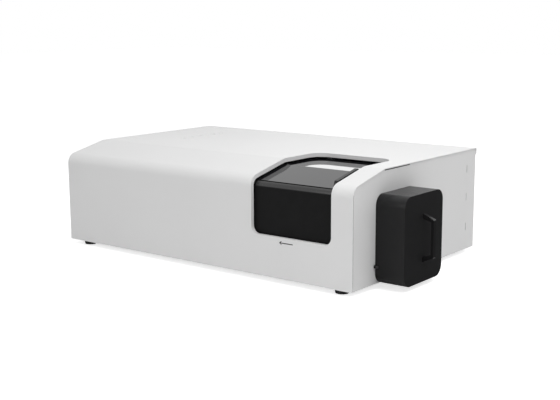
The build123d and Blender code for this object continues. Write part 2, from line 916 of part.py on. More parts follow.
def chopper_disc():
    disc = rod((0, 0, 0), (-1, 0, 0), chopper_radius, chopper_thickness)
    reach = 2 * chopper_radius
    wedge = along_x(outline([(0, 0), (reach, 0), (0, reach)]), about(0, 2 * overrun))
    for number in range(chopper_sectors):
        disc -= Rot(360 / chopper_sectors * number, 0, 0) * wedge
    disc += rod((0, 0, 0), (-1, 0, 0), chopper_hub, 2 * chopper_thickness)
    disc += rod((0, 0, 0), (-1, 0, 0), chopper_shaft_radius, chopper_motor_size[1] / 2)
    return facing(disc, chopper_turn, chopper_middle)


def chopper_motor():
    radius, length = chopper_motor_size
    start = -2 * chopper_thickness - edge_round
    motor = rod((start, 0, 0), (-1, 0, 0), radius, length)
    motor -= rod((start, 0, 0), (-1, 0, 0), chopper_shaft_radius + shaft_clearance, length / 2)
    post_x = (start - length - post_sheet, start - length)
    foot = bench_top - chopper_axis_height
    width = about(0, 2 * radius)
    motor += block(post_x, width, (foot, radius))
    motor += block((post_x[0] - post_toe, post_x[0]), width, span(foot, post_sheet))
    return facing(motor, chopper_turn, chopper_middle)


pieces["chopper_disc"] = chopper_disc()
motors = [grating_motor(line) for line in grating_lines]
motors += [slit_motor(*place) for place in slit_sets.values()]
pieces["drive_motors"] = motors + [source_motor(), wheel_motor(), chopper_motor()]


# Spherical mirrors that face the gratings, and the flat one beside the chopper
mirror_radius = 30
mirror_thickness = 9
mirror_back_room = 14
mirror_offset = 38
bracket_sheet = 5
bracket_toe = 26
bracket_width = 44
flat_mirror_size = (30, 34)
flat_mirror_thickness = 6
flat_mirror_turn = -45
mirror_x = mono_inner_x[1] - mirror_back_room
mirror_lines = [line + way * mirror_offset for line in grating_lines for way in (-1, 1)]
flat_mirror_place = (chopper_x, reference_beam, 0)


def mirrors():
    starts = [(mirror_x - mirror_thickness, y, beam_height) for y in mirror_lines]
    shapes = [rod(start, (1, 0, 0), mirror_radius, mirror_thickness) for start in starts]
    width, height = flat_mirror_size
    flat = block((-flat_mirror_thickness, 0), about(0, width), about(beam_height, height))
    return shapes + [facing(flat, flat_mirror_turn, flat_mirror_place)]


def mirror_brackets():
    shapes = []
    upright_z = (mono_floor_top, beam_height + mirror_radius / 2)
    for y in mirror_lines:
        width = about(y, bracket_width)
        upright = block(span(mirror_x, bracket_sheet), width, upright_z)
        toe_x = (mirror_x - bracket_toe, mirror_x)
        shapes.append(upright + block(toe_x, width, span(mono_floor_top, bracket_sheet)))
    width = about(0, flat_mirror_size[0])
    back = (-flat_mirror_thickness - bracket_sheet, -flat_mirror_thickness)
    mount = block(back, width, (bench_top, beam_height + flat_mirror_size[1] / 2))
    mount += block((back[0] - bracket_toe / 2, back[0]), width, span(bench_top, bracket_sheet))
    return shapes + [facing(mount, flat_mirror_turn, flat_mirror_place)]


pieces["mirrors"] = mirrors()
pieces["mirror_brackets"] = mirror_brackets()


# Detector module: moulded black housing, seal, and the screw that catches it
boss_radius = 6
boss_inset = 16
plate_thickness = 4
module_seal = 1.2
seal_width = 5
module_rib = 2
lug_length = 5
lug_height = 8
module_x = span(body_width, module_protrusion)
module_y = (module_front, module_back)
module_z = (0, module_height)
module_inner_corner = module_corner - module_wall
plate_x = span(body_width + fit_gap, plate_thickness)
boss_places = [(y, z) for y in grow(module_y, -boss_inset) for z in grow(module_z, -boss_inset)]


def module_face(margin, radius):
    return panel(grow(module_y, margin), grow(module_z, margin), radius)


def detector_housing():
    housing = along_x(module_face(0, module_corner), module_x)
    inner = module_face(-module_wall, module_inner_corner)
    housing -= along_x(inner, (module_x[0] - overrun, module_x[1] - module_wall))
    for y, z in boss_places:
        length = module_x[1] - module_wall / 2 - plate_x[1]
        housing += rod((plate_x[1], y, z), (1, 0, 0), boss_radius, length)
    rib_x = (module_x[1] - 3 * module_wall, module_x[1] - module_wall / 2)
    housing += block(rib_x, about(beam_middle, module_rib), grow(module_z, -module_wall / 2))
    lug_y = (catch_line - catch_radius - edge_round, module_front + module_wall)
    lug = panel(lug_y, about(catch_height, lug_height), 2 * edge_round)
    housing += along_x(lug, span(module_x[0], lug_length))
    hole_start = (module_x[0], catch_line, catch_height)
    return housing - bore(hole_start, (1, 0, 0), catch_shank, lug_length)


def detector_seal():
    ring = module_face(0, module_corner) - module_face(-seal_width, module_corner - seal_width)
    return along_x(ring, (module_x[0] - module_seal, module_x[0]))


def module_catch_screw():
    # knurled head outside the lug, shank through lug and side panel
    head_start = (module_x[0] + lug_length, catch_line, catch_height)
    head = rod(head_start, (1, 0, 0), catch_radius, lug_length)
    return head + rod(head_start, (-1, 0, 0), catch_shank, lug_length + pan_depth / 2)


pieces["detector_housing"] = detector_housing()
pieces["detector_seal"] = detector_seal()
pieces["module_catch_screw"] = module_catch_screw()


# Integrating sphere in two halves, held by its flange on the carrier plate
sphere_radius = 55
sphere_wall = 6
sphere_offset = 14             # sphere's middle outside the body's end
sphere_flange = 8
sphere_flange_thickness = 3
sphere_port = 8
spacer_radius = 4
spacer_count = 4
detector_bore = 7
sphere_x = body_width + sphere_offset
sphere_middle = (sphere_x, beam_middle, beam_height)
flange_radius = sphere_radius + sphere_flange
spacer_ring = flange_radius - spacer_radius
detector_x = sphere_x + sphere_radius / 2


def sphere_half(way):
    # one half of the hollow sphere with its flange, on the side given by way
    hollow = Sphere(sphere_radius) - Sphere(sphere_radius - sphere_wall)
    reach = about(0, 4 * sphere_radius)
    side = tuple(sorted((0, way * 2 * sphere_radius)))
    half = Pos(*sphere_middle) * (hollow & block(side, reach, reach))
    flange = rod(sphere_middle, (way, 0, 0), flange_radius, sphere_flange_thickness)
    hole = sphere_radius - sphere_wall / 2
    half += flange - bore(sphere_middle, (way, 0, 0), hole, sphere_flange_thickness)
    if way < 0:
        for y in beam_lines:
            port = (sphere_x - sphere_radius - overrun, y, beam_height)
            half -= rod(port, (1, 0, 0), sphere_port, sphere_radius)
        return half
    low = (detector_x, beam_middle, beam_height - sphere_radius)
    return half - rod(low, (0, 0, 1), detector_bore, 2 * sphere_radius)


def detector_carrier_plate():
    face = module_face(-module_wall - fit_gap, module_inner_corner - fit_gap)
    plate = along_x(face, plate_x)
    hole_start = (plate_x[0], beam_middle, beam_height)
    plate -= bore(hole_start, (1, 0, 0), sphere_radius + edge_round, plate_thickness)
    length = sphere_x - sphere_flange_thickness - plate_x[1]
    for number in range(spacer_count):
        angle = pi / 4 + 2 * pi * number / spacer_count
        y = beam_middle + spacer_ring * cos(angle)
        z = beam_height + spacer_ring * sin(angle)
        plate += rod((plate_x[1], y, z), (1, 0, 0), spacer_radius, length)
    return plate


pieces["detector_carrier_plate"] = detector_carrier_plate()
pieces["integrating_sphere"] = [sphere_half(-1), sphere_half(1)]


# Photomultiplier below the sphere and infrared detector above it, each with a neck in a port
tube_radius = 13
cell_can_radius = 10
cell_can_room = 21             # above the infrared detector, under the module's wall


def skin_height(distance):
    # height of the sphere's skin above its middle, this far out along X
    return sqrt(sphere_radius**2 - distance**2)


def detector(radius, far_height, way):
    # a round can with a neck that enters the sphere's port
    near = skin_height(sphere_radius / 2 - radius) + fit_gap
    neck_end = skin_height(sphere_radius / 2) - edge_round
    can_start = (detector_x, beam_middle, beam_height + way * near)
    neck_start = (detector_x, beam_middle, beam_height + way * neck_end)
    can = rod(can_start, (0, 0, way), radius, far_height - near)
    return can + rod(neck_start, (0, 0, way), detector_bore, near - neck_end)


pieces["photomultiplier"] = detector(tube_radius, beam_height - module_wall, -1)
cell_can_top = module_height - module_wall - cell_can_room
pieces["infrared_detector"] = detector(cell_can_radius, cell_can_top - beam_height, 1)


# Bridge handle on the module's outer face
module_grip_length = 121
module_grip_run = 13
module_grip_bar = 7
module_grip_arm = 12
module_grip_width = 11


def module_handle():
    lengths = (module_grip_length, module_grip_height, module_grip_run)
    face = grip_face(*lengths, module_grip_bar, module_grip_arm)
    face = Pos(module_x[1], module_height / 2) * Rot(0, 0, -90) * face
    return along_y(face, about(beam_middle, module_grip_width))


pieces["module_handle"] = module_handle()


# Guide rods on the carrier plate and the bearing blocks that they slide in
guide_radius = 5
guide_spread = 62              # each rod's distance from the module's middle
guide_height = 32
guide_length = 210
guide_collar_radius = 8
guide_collar_length = 8
bearing_back = 95
bearing_length = 35
bearing_width = 28
bearing_height = 45
bearing_round = 12
bearing_x = span(body_width - bearing_back, bearing_length)
guide_lines = (beam_middle - guide_spread, beam_middle + guide_spread)


def guide_rod(y):
    bar = rod((plate_x[0], y, guide_height), (-1, 0, 0), guide_radius, guide_length)
    collar_start = (plate_x[0] - guide_length, y, guide_height)
    return bar + rod(collar_start, (1, 0, 0), guide_collar_radius, guide_collar_length)


def bearing_block(y):
    width = about(y, bearing_width)
    points = [(width[0], tray_top), (width[1], tray_top)]
    points += [(width[1], bearing_height), (width[0], bearing_height)]
    face = outline(points, [(points[2], bearing_round), (points[3], bearing_round)])
    start = (bearing_x[0], y, guide_height)
    hole = bore(start, (1, 0, 0), guide_radius + shaft_clearance, bearing_length)
    return along_x(face, bearing_x) - hole


pieces["module_guide_rods"] = [guide_rod(y) for y in guide_lines]
pieces["module_bearing_blocks"] = [bearing_block(y) for y in guide_lines]


# Power supply and main board on the tray behind the compartment
supply_size = (160, 110)
supply_place = (13, 40)        # from the tub's left end and from the body's back
supply_top = 58
supply_sheet = 1.5
supply_slots = 8
board_size = (240, 135)
board_place = (18, 31)         # from the tub's left end and from the tub's back
board_lift = 12
board_thickness = 1.6
board_post = 3.5
board_inset = 8
chip_height = 4
chip_shares = ((0.15, 0.3, 0.12), (0.4, 0.6, 0.16), (0.7, 0.3, 0.1), (0.85, 0.7, 0.08))
supply_x = span(tub_x[0] + supply_place[0], supply_size[0])
supply_y = span(body_depth - supply_place[1] - supply_size[1], supply_size[1])
board_x = span(tub_x[0] + board_place[0], board_size[0])
board_y = span(tub_back + board_place[1], board_size[1])
board_bottom = tray_top + board_lift
board_top = board_bottom + board_thickness


def power_supply():
    supply = block(supply_x, supply_y, (tray_top, supply_top))
    inside = (grow(supply_x, -supply_sheet), grow(supply_y, -supply_sheet))
    supply -= block(*inside, (tray_top + supply_sheet, supply_top - supply_sheet))
    pitch = supply_size[0] / (supply_slots + 1)
    for number in range(supply_slots):
        middle = (supply_x[0] + (number + 1) * pitch, sum(supply_y) / 2)
        slot = slot_face(middle, supply_size[1] / 2, pitch / 3, upright=True)
        supply -= along_z(slot, about(supply_top, overrun))
    return supply


def main_board():
    board = block(board_x, board_y, (board_bottom, board_top))
    for x_share, y_share, size_share in chip_shares:
        size = board_size[0] * size_share
        x = about(board_x[0] + board_size[0] * x_share, size)
        y = about(board_y[0] + board_size[1] * y_share, size)
        board += block(x, y, span(board_top, chip_height))
    return board


pieces["power_supply"] = power_supply()
pieces["main_board"] = main_board()


# Base tray: folded bottom on which everything stands, with posts for the board
tray_wall = 30
tab_length = 460
tray_slot = (60, 5)
tray_slot_pitch = 14
tray_slot_count = 6
tray_vent_back = (65, 85)      # middles of the two vents from the body's back
tray_x = grow((left_face, right_face), -pan_depth - panel_gap)
rear_y = (body_depth - rear_recess - panel_sheet, body_depth - rear_recess)
tray_y = (cover_sheet, rear_y[0])
tray_z = span(tray_lift, tray_wall)
tray_vents = (
    (sum(lamp_house_x) / 2, body_depth - tray_vent_back[0]),
    (sum(supply_x) / 2, body_depth - tray_vent_back[1]),
)


def base_tray():
    tray = block(tray_x, tray_y, tray_z)
    above = (tray_top, tray_z[1] + overrun)
    tray -= block(grow(tray_x, -tray_sheet), grow(tray_y, -tray_sheet), above)
    tray -= block(about(tray_x[1], 4 * tray_sheet), port_y, above)
    tab_x = grow((left_face, right_face), -panel_sheet)
    tray += block(tab_x, about(body_depth / 2, tab_length), (tray_lift, tray_top))
    for middle_x, middle_y in tray_vents:
        for number in range(tray_slot_count):
            shift = (number - (tray_slot_count - 1) / 2) * tray_slot_pitch
            slot = slot_face((middle_x, middle_y + shift), *tray_slot)
            tray -= along_z(slot, grow((tray_lift, tray_top), overrun))
    for x in grow(board_x, -board_inset):
        for y in grow(board_y, -board_inset):
            tray += rod((x, y, tray_lift), (0, 0, 1), board_post, board_bottom - tray_lift)
    return tray


pieces["base_tray"] = base_tray()


# Four round rubber feet under the tray
foot_inset = (50, 32)
foot_top_radius = 20
foot_bottom_radius = 17
foot_bore = 4
foot_bore_depth = 7
foot_places = [
    (x, y)
    for x in grow((0, body_width), -foot_inset[0])
    for y in grow((0, body_depth), -foot_inset[1])
]


def rubber_foot(x, y):
    base = (x, y, -foot_height)
    height = foot_height + tray_lift
    slant = (foot_top_radius - foot_bottom_radius) / 2
    wall = [(0, 0), (foot_bottom_radius, 0), (foot_top_radius, height), (0, height)]
    foot = revolve(Plane.XZ * outline(wall, [(wall[1], slant)]), Axis.Z)
    return Pos(*base) * foot - rod(base, (0, 0, 1), foot_bore, foot_bore_depth)


pieces["rubber_feet"] = [rubber_foot(x, y) for x, y in foot_places]


# Rear panel with its fan hole, vents, power inlet and data ports
rear_flange = 12
fan_x = 150
fan_z = 112
fan_size = 80
fan_depth = 25
fan_bore = 38
inlet_right = 100
inlet_z = 82
inlet_width = 28
inlet_height = 60
port_row_z = 60
port_sets = ((200, 12, 11), (154, 18, 9))
rear_vent_right = 340
rear_vent_z = 90
rear_vent_pitch = 10
rear_vent_count = 9
rear_vent = (60, 4)
inlet_x = body_width - inlet_right
rear_z = (tray_lift, ceiling)


def port_face(right, width, height, margin):
    middle = body_width - right
    return panel(grow(about(middle, width), margin), grow(about(port_row_z, height), margin))


def rear_panel():
    sheet = block(tray_x, rear_y, rear_z)
    flange_y = (rear_y[0] - rear_flange, rear_y[0])
    side_z = (tray_z[1] + panel_gap, rear_z[1])
    sheet += block(span(tray_x[0], panel_sheet), flange_y, side_z)
    sheet += block((tray_x[1] - panel_sheet, tray_x[1]), flange_y, side_z)
    sheet += block(tray_x, flange_y, (rear_z[1] - panel_sheet, rear_z[1]))
    through = grow(rear_y, overrun)
    sheet -= bore((fan_x, rear_y[0], fan_z), (0, 1, 0), fan_bore, panel_sheet)
    sheet -= along_y(panel(about(inlet_x, inlet_width), about(inlet_z, inlet_height)), through)
    for port in port_sets:
        sheet -= along_y(port_face(*port, 0), through)
    for number in range(rear_vent_count):
        shift = (number - (rear_vent_count - 1) / 2) * rear_vent_pitch
        middle = (body_width - rear_vent_right + shift, rear_vent_z)
        sheet -= along_y(slot_face(middle, *rear_vent, upright=True), through)
    return sheet


pieces["rear_panel"] = rear_panel()


# Cooling fan on the rear panel
fan_rotor_radius = 36
fan_hub_radius = 17
fan_blades = 7
fan_blade_thickness = 1.6
fan_blade_pitch = 35
fan_blade_share = 0.8          # blade's width in the depth of the hub
fan_shaft_radius = 2
fan_spoke = 5
fan_plate = 3
guard_wire = 0.8
guard_ring_shares = (0.35, 0.6, 0.85)
spoke_turns = (45, -45)
fan_y = (rear_y[0] - fan_depth, rear_y[0])
fan_front = (fan_x, fan_y[0], fan_z)


def fan_frame():
    face = panel(about(fan_x, fan_size), about(fan_z, fan_size), 3 * edge_round)
    frame = along_y(face, fan_y) - bore(fan_front, (0, 1, 0), fan_bore, fan_depth)
    plate_y = (fan_y[1] - fan_plate, fan_y[1])
    for turn in spoke_turns:
        spoke = block(about(0, 2 * fan_bore + edge_round), plate_y, about(0, fan_spoke))
        frame += Pos(fan_x, 0, fan_z) * Rot(0, turn, 0) * spoke
    frame += rod((fan_x, plate_y[0], fan_z), (0, 1, 0), fan_hub_radius, fan_plate)
    hole_radius = fan_shaft_radius + shaft_clearance
    return frame - rod(fan_front, (0, 1, 0), hole_radius, fan_depth - edge_round)


def fan_rotor():
    start = (fan_x, fan_y[0] + edge_round, fan_z)
    hub_length = fan_depth - 2 * fan_plate
    rotor = rod(start, (0, 1, 0), fan_hub_radius, hub_length)
    rotor += rod(start, (0, 1, 0), fan_shaft_radius, fan_depth - 3 * edge_round)
    blade_z = (fan_hub_radius - edge_round, fan_rotor_radius)
    blade_y = about(0, hub_length * fan_blade_share)
    blade = Rot(0, 0, fan_blade_pitch) * block(about(0, fan_blade_thickness), blade_y, blade_z)
    middle = Pos(fan_x, start[1] + hub_length / 2, fan_z)
    for number in range(fan_blades):
        rotor += middle * Rot(0, 360 / fan_blades * number, 0) * blade
    return rotor


def fan_guard():
    # wire rings on two crossed flat bars that lie on the rear panel
    length = 2 * fan_bore + 2 * fan_spoke
    bar = block(about(0, length), (0, 2 * guard_wire), about(0, 2 * guard_wire))
    guard = Rot(0, spoke_turns[0], 0) * bar + Rot(0, spoke_turns[1], 0) * bar
    for share in guard_ring_shares:
        guard += Pos(0, 2 * guard_wire, 0) * Rot(90, 0, 0) * Torus(fan_bore * share, guard_wire)
    return Pos(fan_x, rear_y[1], fan_z) * guard


pieces["fan_frame"] = fan_frame()
pieces["fan_rotor"] = fan_rotor()
pieces["fan_guard"] = fan_guard()


# Power inlet with its rocker switch and fuse drawer
inlet_flange = 4
inlet_flange_thickness = 2
inlet_depth = 30
socket_room = (22, 16)
socket_drop = 19
recess_depth = 16
drawer_size = (20, 8)
drawer_depth = 18
drawer_lip = 1.2
switch_rise = 18
rocker_size = (13, 17)
rocker_pivot_depth = 4
rocker_back = 4
rocker_proud = 6
rocker_valley = 4.5
rocker_tilt = 8
pin_size = (2, 4)
inlet_face = rear_y[1] + inlet_flange_thickness
socket_z = inlet_z - socket_drop
switch_z = inlet_z + switch_rise
drawer_x = about(inlet_x, drawer_size[0])
drawer_z = about(inlet_z, drawer_size[1])
rocker_x = about(inlet_x, rocker_size[0])


def power_inlet():
    body_x = about(inlet_x, inlet_width)
    body_z = about(inlet_z, inlet_height)
    body = block(body_x, (rear_y[1] - inlet_depth, rear_y[1]), body_z)
    flange = panel(grow(body_x, inlet_flange), grow(body_z, inlet_flange), inlet_flange)
    body += along_y(flange, (rear_y[1], inlet_face))
    out = inlet_face + overrun
    recess_y = (inlet_face - recess_depth, out)
    body -= block(about(inlet_x, socket_room[0]), recess_y, about(socket_z, socket_room[1]))
    drawer_room = (inlet_face - drawer_depth - fit_gap, out)
    body -= block(grow(drawer_x, fit_gap), drawer_room, grow(drawer_z, fit_gap))
    switch_room = grow(about(switch_z, rocker_size[1]), fit_gap + edge_round)
    body -= block(grow(rocker_x, fit_gap), recess_y, switch_room)
    for shift in (-1, 0, 1):
        pin_x = about(inlet_x + shift * socket_room[0] / 4, pin_size[0])
        pin_y = (recess_y[0] - edge_round, inlet_face - recess_depth / 3)
        body += block(pin_x, pin_y, about(socket_z, pin_size[1]))
    return body


def power_rocker():
    # its face is two slopes that meet over the pivot, and it rests tilted
    half = rocker_size[1] / 2
    points = [(-rocker_back, -half / 2), (rocker_back / 2, -half), (rocker_proud, -half)]
    points += [(rocker_valley, 0), (rocker_proud, half), (rocker_back / 2, half)]
    points += [(-rocker_back, half / 2)]
    pivot = Pos(inlet_face - rocker_pivot_depth, switch_z)
    return along_x(pivot * Rot(0, 0, rocker_tilt) * outline(points), rocker_x)


def fuse_drawer():
    return block(drawer_x, (inlet_face - drawer_depth, inlet_face + drawer_lip), drawer_z)


pieces["power_inlet"] = power_inlet()
pieces["power_rocker"] = power_rocker()
pieces["fuse_drawer"] = fuse_drawer()


# Data ports behind the rear panel, each with a flange on its inner face
port_depth = 14
port_flange = 3
port_flange_sheet = 1.2
port_opening_share = 0.5


def data_port(right, width, height):
    shell_y = (rear_y[0] - port_depth, rear_y[1])
    shell = along_y(port_face(right, width, height, -fit_gap), shell_y)
    flange_y = (rear_y[0] - port_flange_sheet, rear_y[0])
    shell += along_y(port_face(right, width, height, port_flange), flange_y)
    share = port_opening_share
    inner = port_face(right, width * share, height * share, 0)
    return shell - along_y(inner, (rear_y[0] - port_depth / 2, rear_y[1] + overrun))


pieces["data_ports"] = [data_port(*port) for port in port_sets]


# The origin is on the ground under the middle of the outer box
overall_length = body_width + module_protrusion + module_grip_height
to_origin = Pos(-overall_length / 2, -body_depth / 2, foot_height)
for name, shape in pieces.items():
    solids = shape if isinstance(shape, list) else [shape]
    export_step(to_origin * Compound(children=solids), f"parts/{name}.step")
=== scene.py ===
import bpy, bmesh, json, math, random
from mathutils import Matrix, Vector


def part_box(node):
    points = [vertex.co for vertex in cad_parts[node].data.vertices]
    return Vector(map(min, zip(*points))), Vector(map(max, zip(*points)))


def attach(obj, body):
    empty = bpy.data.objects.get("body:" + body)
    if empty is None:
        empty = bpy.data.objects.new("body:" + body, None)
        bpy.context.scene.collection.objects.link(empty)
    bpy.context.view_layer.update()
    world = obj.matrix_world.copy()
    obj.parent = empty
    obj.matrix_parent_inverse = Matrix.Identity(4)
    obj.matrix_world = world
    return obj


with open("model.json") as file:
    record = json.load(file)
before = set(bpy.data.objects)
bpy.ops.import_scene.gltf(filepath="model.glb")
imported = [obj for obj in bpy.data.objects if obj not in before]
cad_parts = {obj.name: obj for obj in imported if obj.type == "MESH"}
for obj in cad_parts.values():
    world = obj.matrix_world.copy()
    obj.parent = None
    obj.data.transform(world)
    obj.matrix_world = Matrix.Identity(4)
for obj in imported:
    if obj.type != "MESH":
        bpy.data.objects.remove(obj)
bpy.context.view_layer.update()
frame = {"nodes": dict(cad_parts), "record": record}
scene = bpy.context.scene
slotOf = {row["node"]: row["material_slot"] for row in frame["record"]["subparts"]}
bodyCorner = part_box("top_cover")[0]  # front left lower corner of the folded cover
mmPerMetre = 1000


def at(x, y, z):  # millimetres from the cover's corner, as on the drawing
    return bodyCorner + Vector((x, y, z)) / mmPerMetre


mixShare, mixFirst, mixSecond, mixColour = 0, 6, 7, 2  # a Mix node's sockets for colours
noiseMiddle = 0.5  # a noise varies about this value


class Flow:  # one output socket, so that shader maths reads as plain sums
    def __init__(self, maker, socket):
        self.maker, self.socket = maker, socket

    def join(self, operation, other, swapped=False):
        pair = (other, self) if swapped else (self, other)
        make = self.maker.node
        if self.socket.type == "RGBA":
            blend = {"data_type": "RGBA", "blend_type": operation}
            sides = {mixShare: 1.0, mixFirst: pair[0], mixSecond: pair[1]}
            return make("ShaderNodeMix", blend, sides, mixColour)
        if self.socket.type == "VECTOR":
            spread = [(side,) * 3 if isinstance(side, (int, float)) else side for side in pair]
            return make("ShaderNodeVectorMath", {"operation": operation}, dict(enumerate(spread)))
        return make("ShaderNodeMath", {"operation": operation}, dict(enumerate(pair)))

    def __add__(self, other): return self.join("ADD", other)
    def __radd__(self, other): return self.join("ADD", other, True)
    def __sub__(self, other): return self.join("SUBTRACT", other)
    def __rsub__(self, other): return self.join("SUBTRACT", other, True)
    def __mul__(self, other): return self.join("MULTIPLY", other)
    def __rmul__(self, other): return self.join("MULTIPLY", other, True)


class NodeMaker:  # makes and joins the nodes of one tree
    def __init__(self, tree):
        self.tree = tree

    def node(self, kind, settings=None, values=None, output=0):
        made = self.tree.nodes.new(kind)
        for name, value in (settings or {}).items():
            if name == "stops":
                ramp = made.color_ramp
                while len(ramp.elements) < len(value):
                    ramp.elements.new(0.5)
                for element, (spot, tone) in zip(ramp.elements, value):
                    element.position, element.color = spot, (*tone, 1)
            else:
                setattr(made, name, value)
        for name, value in (values or {}).items():
            self.give(made.inputs[name], value)
        return Flow(self, made.outputs[output])

    def give(self, socket, value):
        if isinstance(value, Flow):
            self.tree.links.new(value.socket, socket)
        elif socket.type == "RGBA":
            socket.default_value = (*value[:3], 1)
        else:
            socket.default_value = value

    def rays(self, *kinds):  # 1 for a ray of any of these kinds
        first, *others = [self.node("ShaderNodeLightPath", output=kind) for kind in kinds]
        return sum(others, first)


class Finish(NodeMaker):  # one procedural material, made around a Principled shader
    def __init__(self, name, **fixed):
        self.material = bpy.data.materials.new("finish_" + name)
        self.material.use_nodes = True
        super().__init__(self.material.node_tree)
        self.shader = self.tree.nodes["Principled BSDF"]
        self.place = self.node("ShaderNodeTexCoord", output="Object")
        for socket, value in fixed.items():
            self.feed(socket.replace("_", " "), value)

    def feed(self, name, value):
        self.give(self.shader.inputs[name], value)
        return self

    def noise(self, scale, detail, rough=0.55, stretch=(1, 1, 1), lean=0.0):
        values = {"Vector": self.place * stretch, "Scale": scale, "Detail": detail,
                  "Roughness": rough, "Distortion": lean}
        return self.node("ShaderNodeTexNoise", None, values)

    def cells(self, scale, feature, output=0):
        values = {"Vector": self.place, "Scale": scale}
        return self.node("ShaderNodeTexVoronoi", {"feature": feature}, values, output)

    def ramp(self, share, stops):
        return self.node("ShaderNodeValToRGB", {"stops": stops}, {"Fac": share})

    def between(self, share, low, high):  # 0 below low, 1 above high, smooth in the middle
        return self.node("ShaderNodeMapRange", {"interpolation_type": "SMOOTHSTEP"},
                         {"Value": share, "From Min": low, "From Max": high})

    def mix(self, share, first, second):
        sides = {mixShare: share, mixFirst: first, mixSecond: second}
        return self.node("ShaderNodeMix", {"data_type": "RGBA"}, sides, mixColour)

    def grey(self, colour):
        return self.node("ShaderNodeRGBToBW", None, {0: colour})

    def bump(self, height, strength, depth, under=None):
        values = {"Strength": strength, "Distance": depth, "Height": height}
        if under is not None:
            values["Normal"] = under
        return self.node("ShaderNodeBump", None, values)

    def part(self, vector, axis):  # one coordinate of a vector
        return self.node("ShaderNodeSeparateXYZ", None, {0: vector}, axis)


def tinted(tone, share):
    return tuple(channel * share for channel in tone)


# in the looks below a noise is scale, detail, roughness, stretch and lean, as far as given,
# and a bump is strength and depth in metres
paintLook = {"cover": (0.80, 0.80, 0.80), "panel": (0.76, 0.76, 0.76), "ior": 1.38,
             "drift": (3.5, 3), "driftShare": 0.6, "driftBump": (0.05, 0.0006),
             "speck": (2600, 2), "speckShare": 0.4, "speckRoughness": 0.08,
             "peel": (900, 2), "peelBump": (0.35, 0.00005),
             "roughness": 0.46, "tints": [(0.25, 0.975), (0.75, 1.02)]}


def powderCoat(name, tone):  # off-white textured powder coat
    coat = Finish(name, IOR=paintLook["ior"])
    drift, speck = coat.noise(*paintLook["drift"]), coat.noise(*paintLook["speck"])
    cloud = drift * paintLook["driftShare"] + speck * paintLook["speckShare"]
    stops = [(spot, tinted(tone, share)) for spot, share in paintLook["tints"]]
    coat.feed("Base Color", coat.ramp(cloud, stops))
    uneven = paintLook["speckRoughness"] * (speck - noiseMiddle)
    coat.feed("Roughness", paintLook["roughness"] + uneven)
    peel = coat.bump(coat.noise(*paintLook["peel"]), *paintLook["peelBump"])
    return coat.feed("Normal", coat.bump(drift, *paintLook["driftBump"], peel))


mouldLook = {"motor": {"tone": (0.022, 0.022, 0.023), "roughness": 0.38, "ior": 1.45},
             "plastic": {"tone": (0.016, 0.016, 0.0165), "roughness": 0.45, "ior": 1.42},
             "grain": 1500, "pitRoughness": 0.10, "bump": (0.4, 0.00006),
             "rub": (26, 5, 0.6), "rubFrom": 0.52, "rubTo": 0.75, "rubTint": 1.7,
             "rubShare": 0.3, "rubPolish": 0.06}


def rubbedSpots(finish):  # where hands have polished it
    spots = finish.noise(*mouldLook["rub"])
    return finish.between(spots, mouldLook["rubFrom"], mouldLook["rubTo"])


def mouldedBlack(name, tone, roughness, ior):
    mould = Finish(name, IOR=ior)
    pits = mould.cells(mouldLook["grain"], "SMOOTH_F1")
    rub = rubbedSpots(mould)
    worn = tinted(tone, mouldLook["rubTint"])
    mould.feed("Base Color", mould.mix(rub * mouldLook["rubShare"], tone, worn))
    polish = mouldLook["rubPolish"] * rub
    mould.feed("Roughness", roughness + mouldLook["pitRoughness"] * pits - polish)
    return mould.feed("Normal", mould.bump(pits, *mouldLook["bump"]))


shellLook = {"module": {"tone": (0.0165, 0.0165, 0.017), "coat": 0.73},
             "handle": {"tone": (0.013, 0.013, 0.0135), "coat": 1.0},
             "ior": 1.05, "roughness": 0.42, "bump": (0.12, 0.00006), "faceFrom": 0.965,
             "faceTo": 0.995, "rubShare": 0.12, "rubCoat": 0.25, "coatRoughness": 0.22,
             "coatIor": 1.27}


def shellBlack(name, tone, coat):  # satin sides and edges, with a matt outer face
    shell = Finish(name, IOR=shellLook["ior"])
    pits = shell.cells(mouldLook["grain"], "SMOOTH_F1")
    rub = rubbedSpots(shell)
    outward = shell.part(shell.node("ShaderNodeTexCoord", output="Normal"), 0)
    outer = shell.between(outward, shellLook["faceFrom"], shellLook["faceTo"])
    worn = tinted(tone, mouldLook["rubTint"])
    shell.feed("Base Color", shell.mix(rub * shellLook["rubShare"], tone, worn))
    shell.feed("Roughness", shellLook["roughness"] + mouldLook["pitRoughness"] * pits)
    shell.feed("Coat Weight", coat * (1 - outer) * (1 - shellLook["rubCoat"] * rub))
    shell.feed("Coat Roughness", shellLook["coatRoughness"])
    shell.feed("Coat IOR", shellLook["coatIor"])
    return shell.feed("Normal", shell.bump(pits, *shellLook["bump"]))


lidLook = {"tone": (0.0105, 0.0105, 0.0108), "tints": (0.8, 1.25), "ior": 1.15,
           "haze": (40, 4), "roughness": 0.36, "hazeRoughness": 0.07,
           "bendStart": 0.2388, "bendEnd": 0.2535, "bendEdge": 0.003, "bendPolish": 0.12,
           "bendCoat": 0.77, "slopeCoat": 0.06, "coatRoughness": 0.14, "coatIor": 1.65,
           "spray": (1800, 2), "bump": (0.2, 0.00003)}


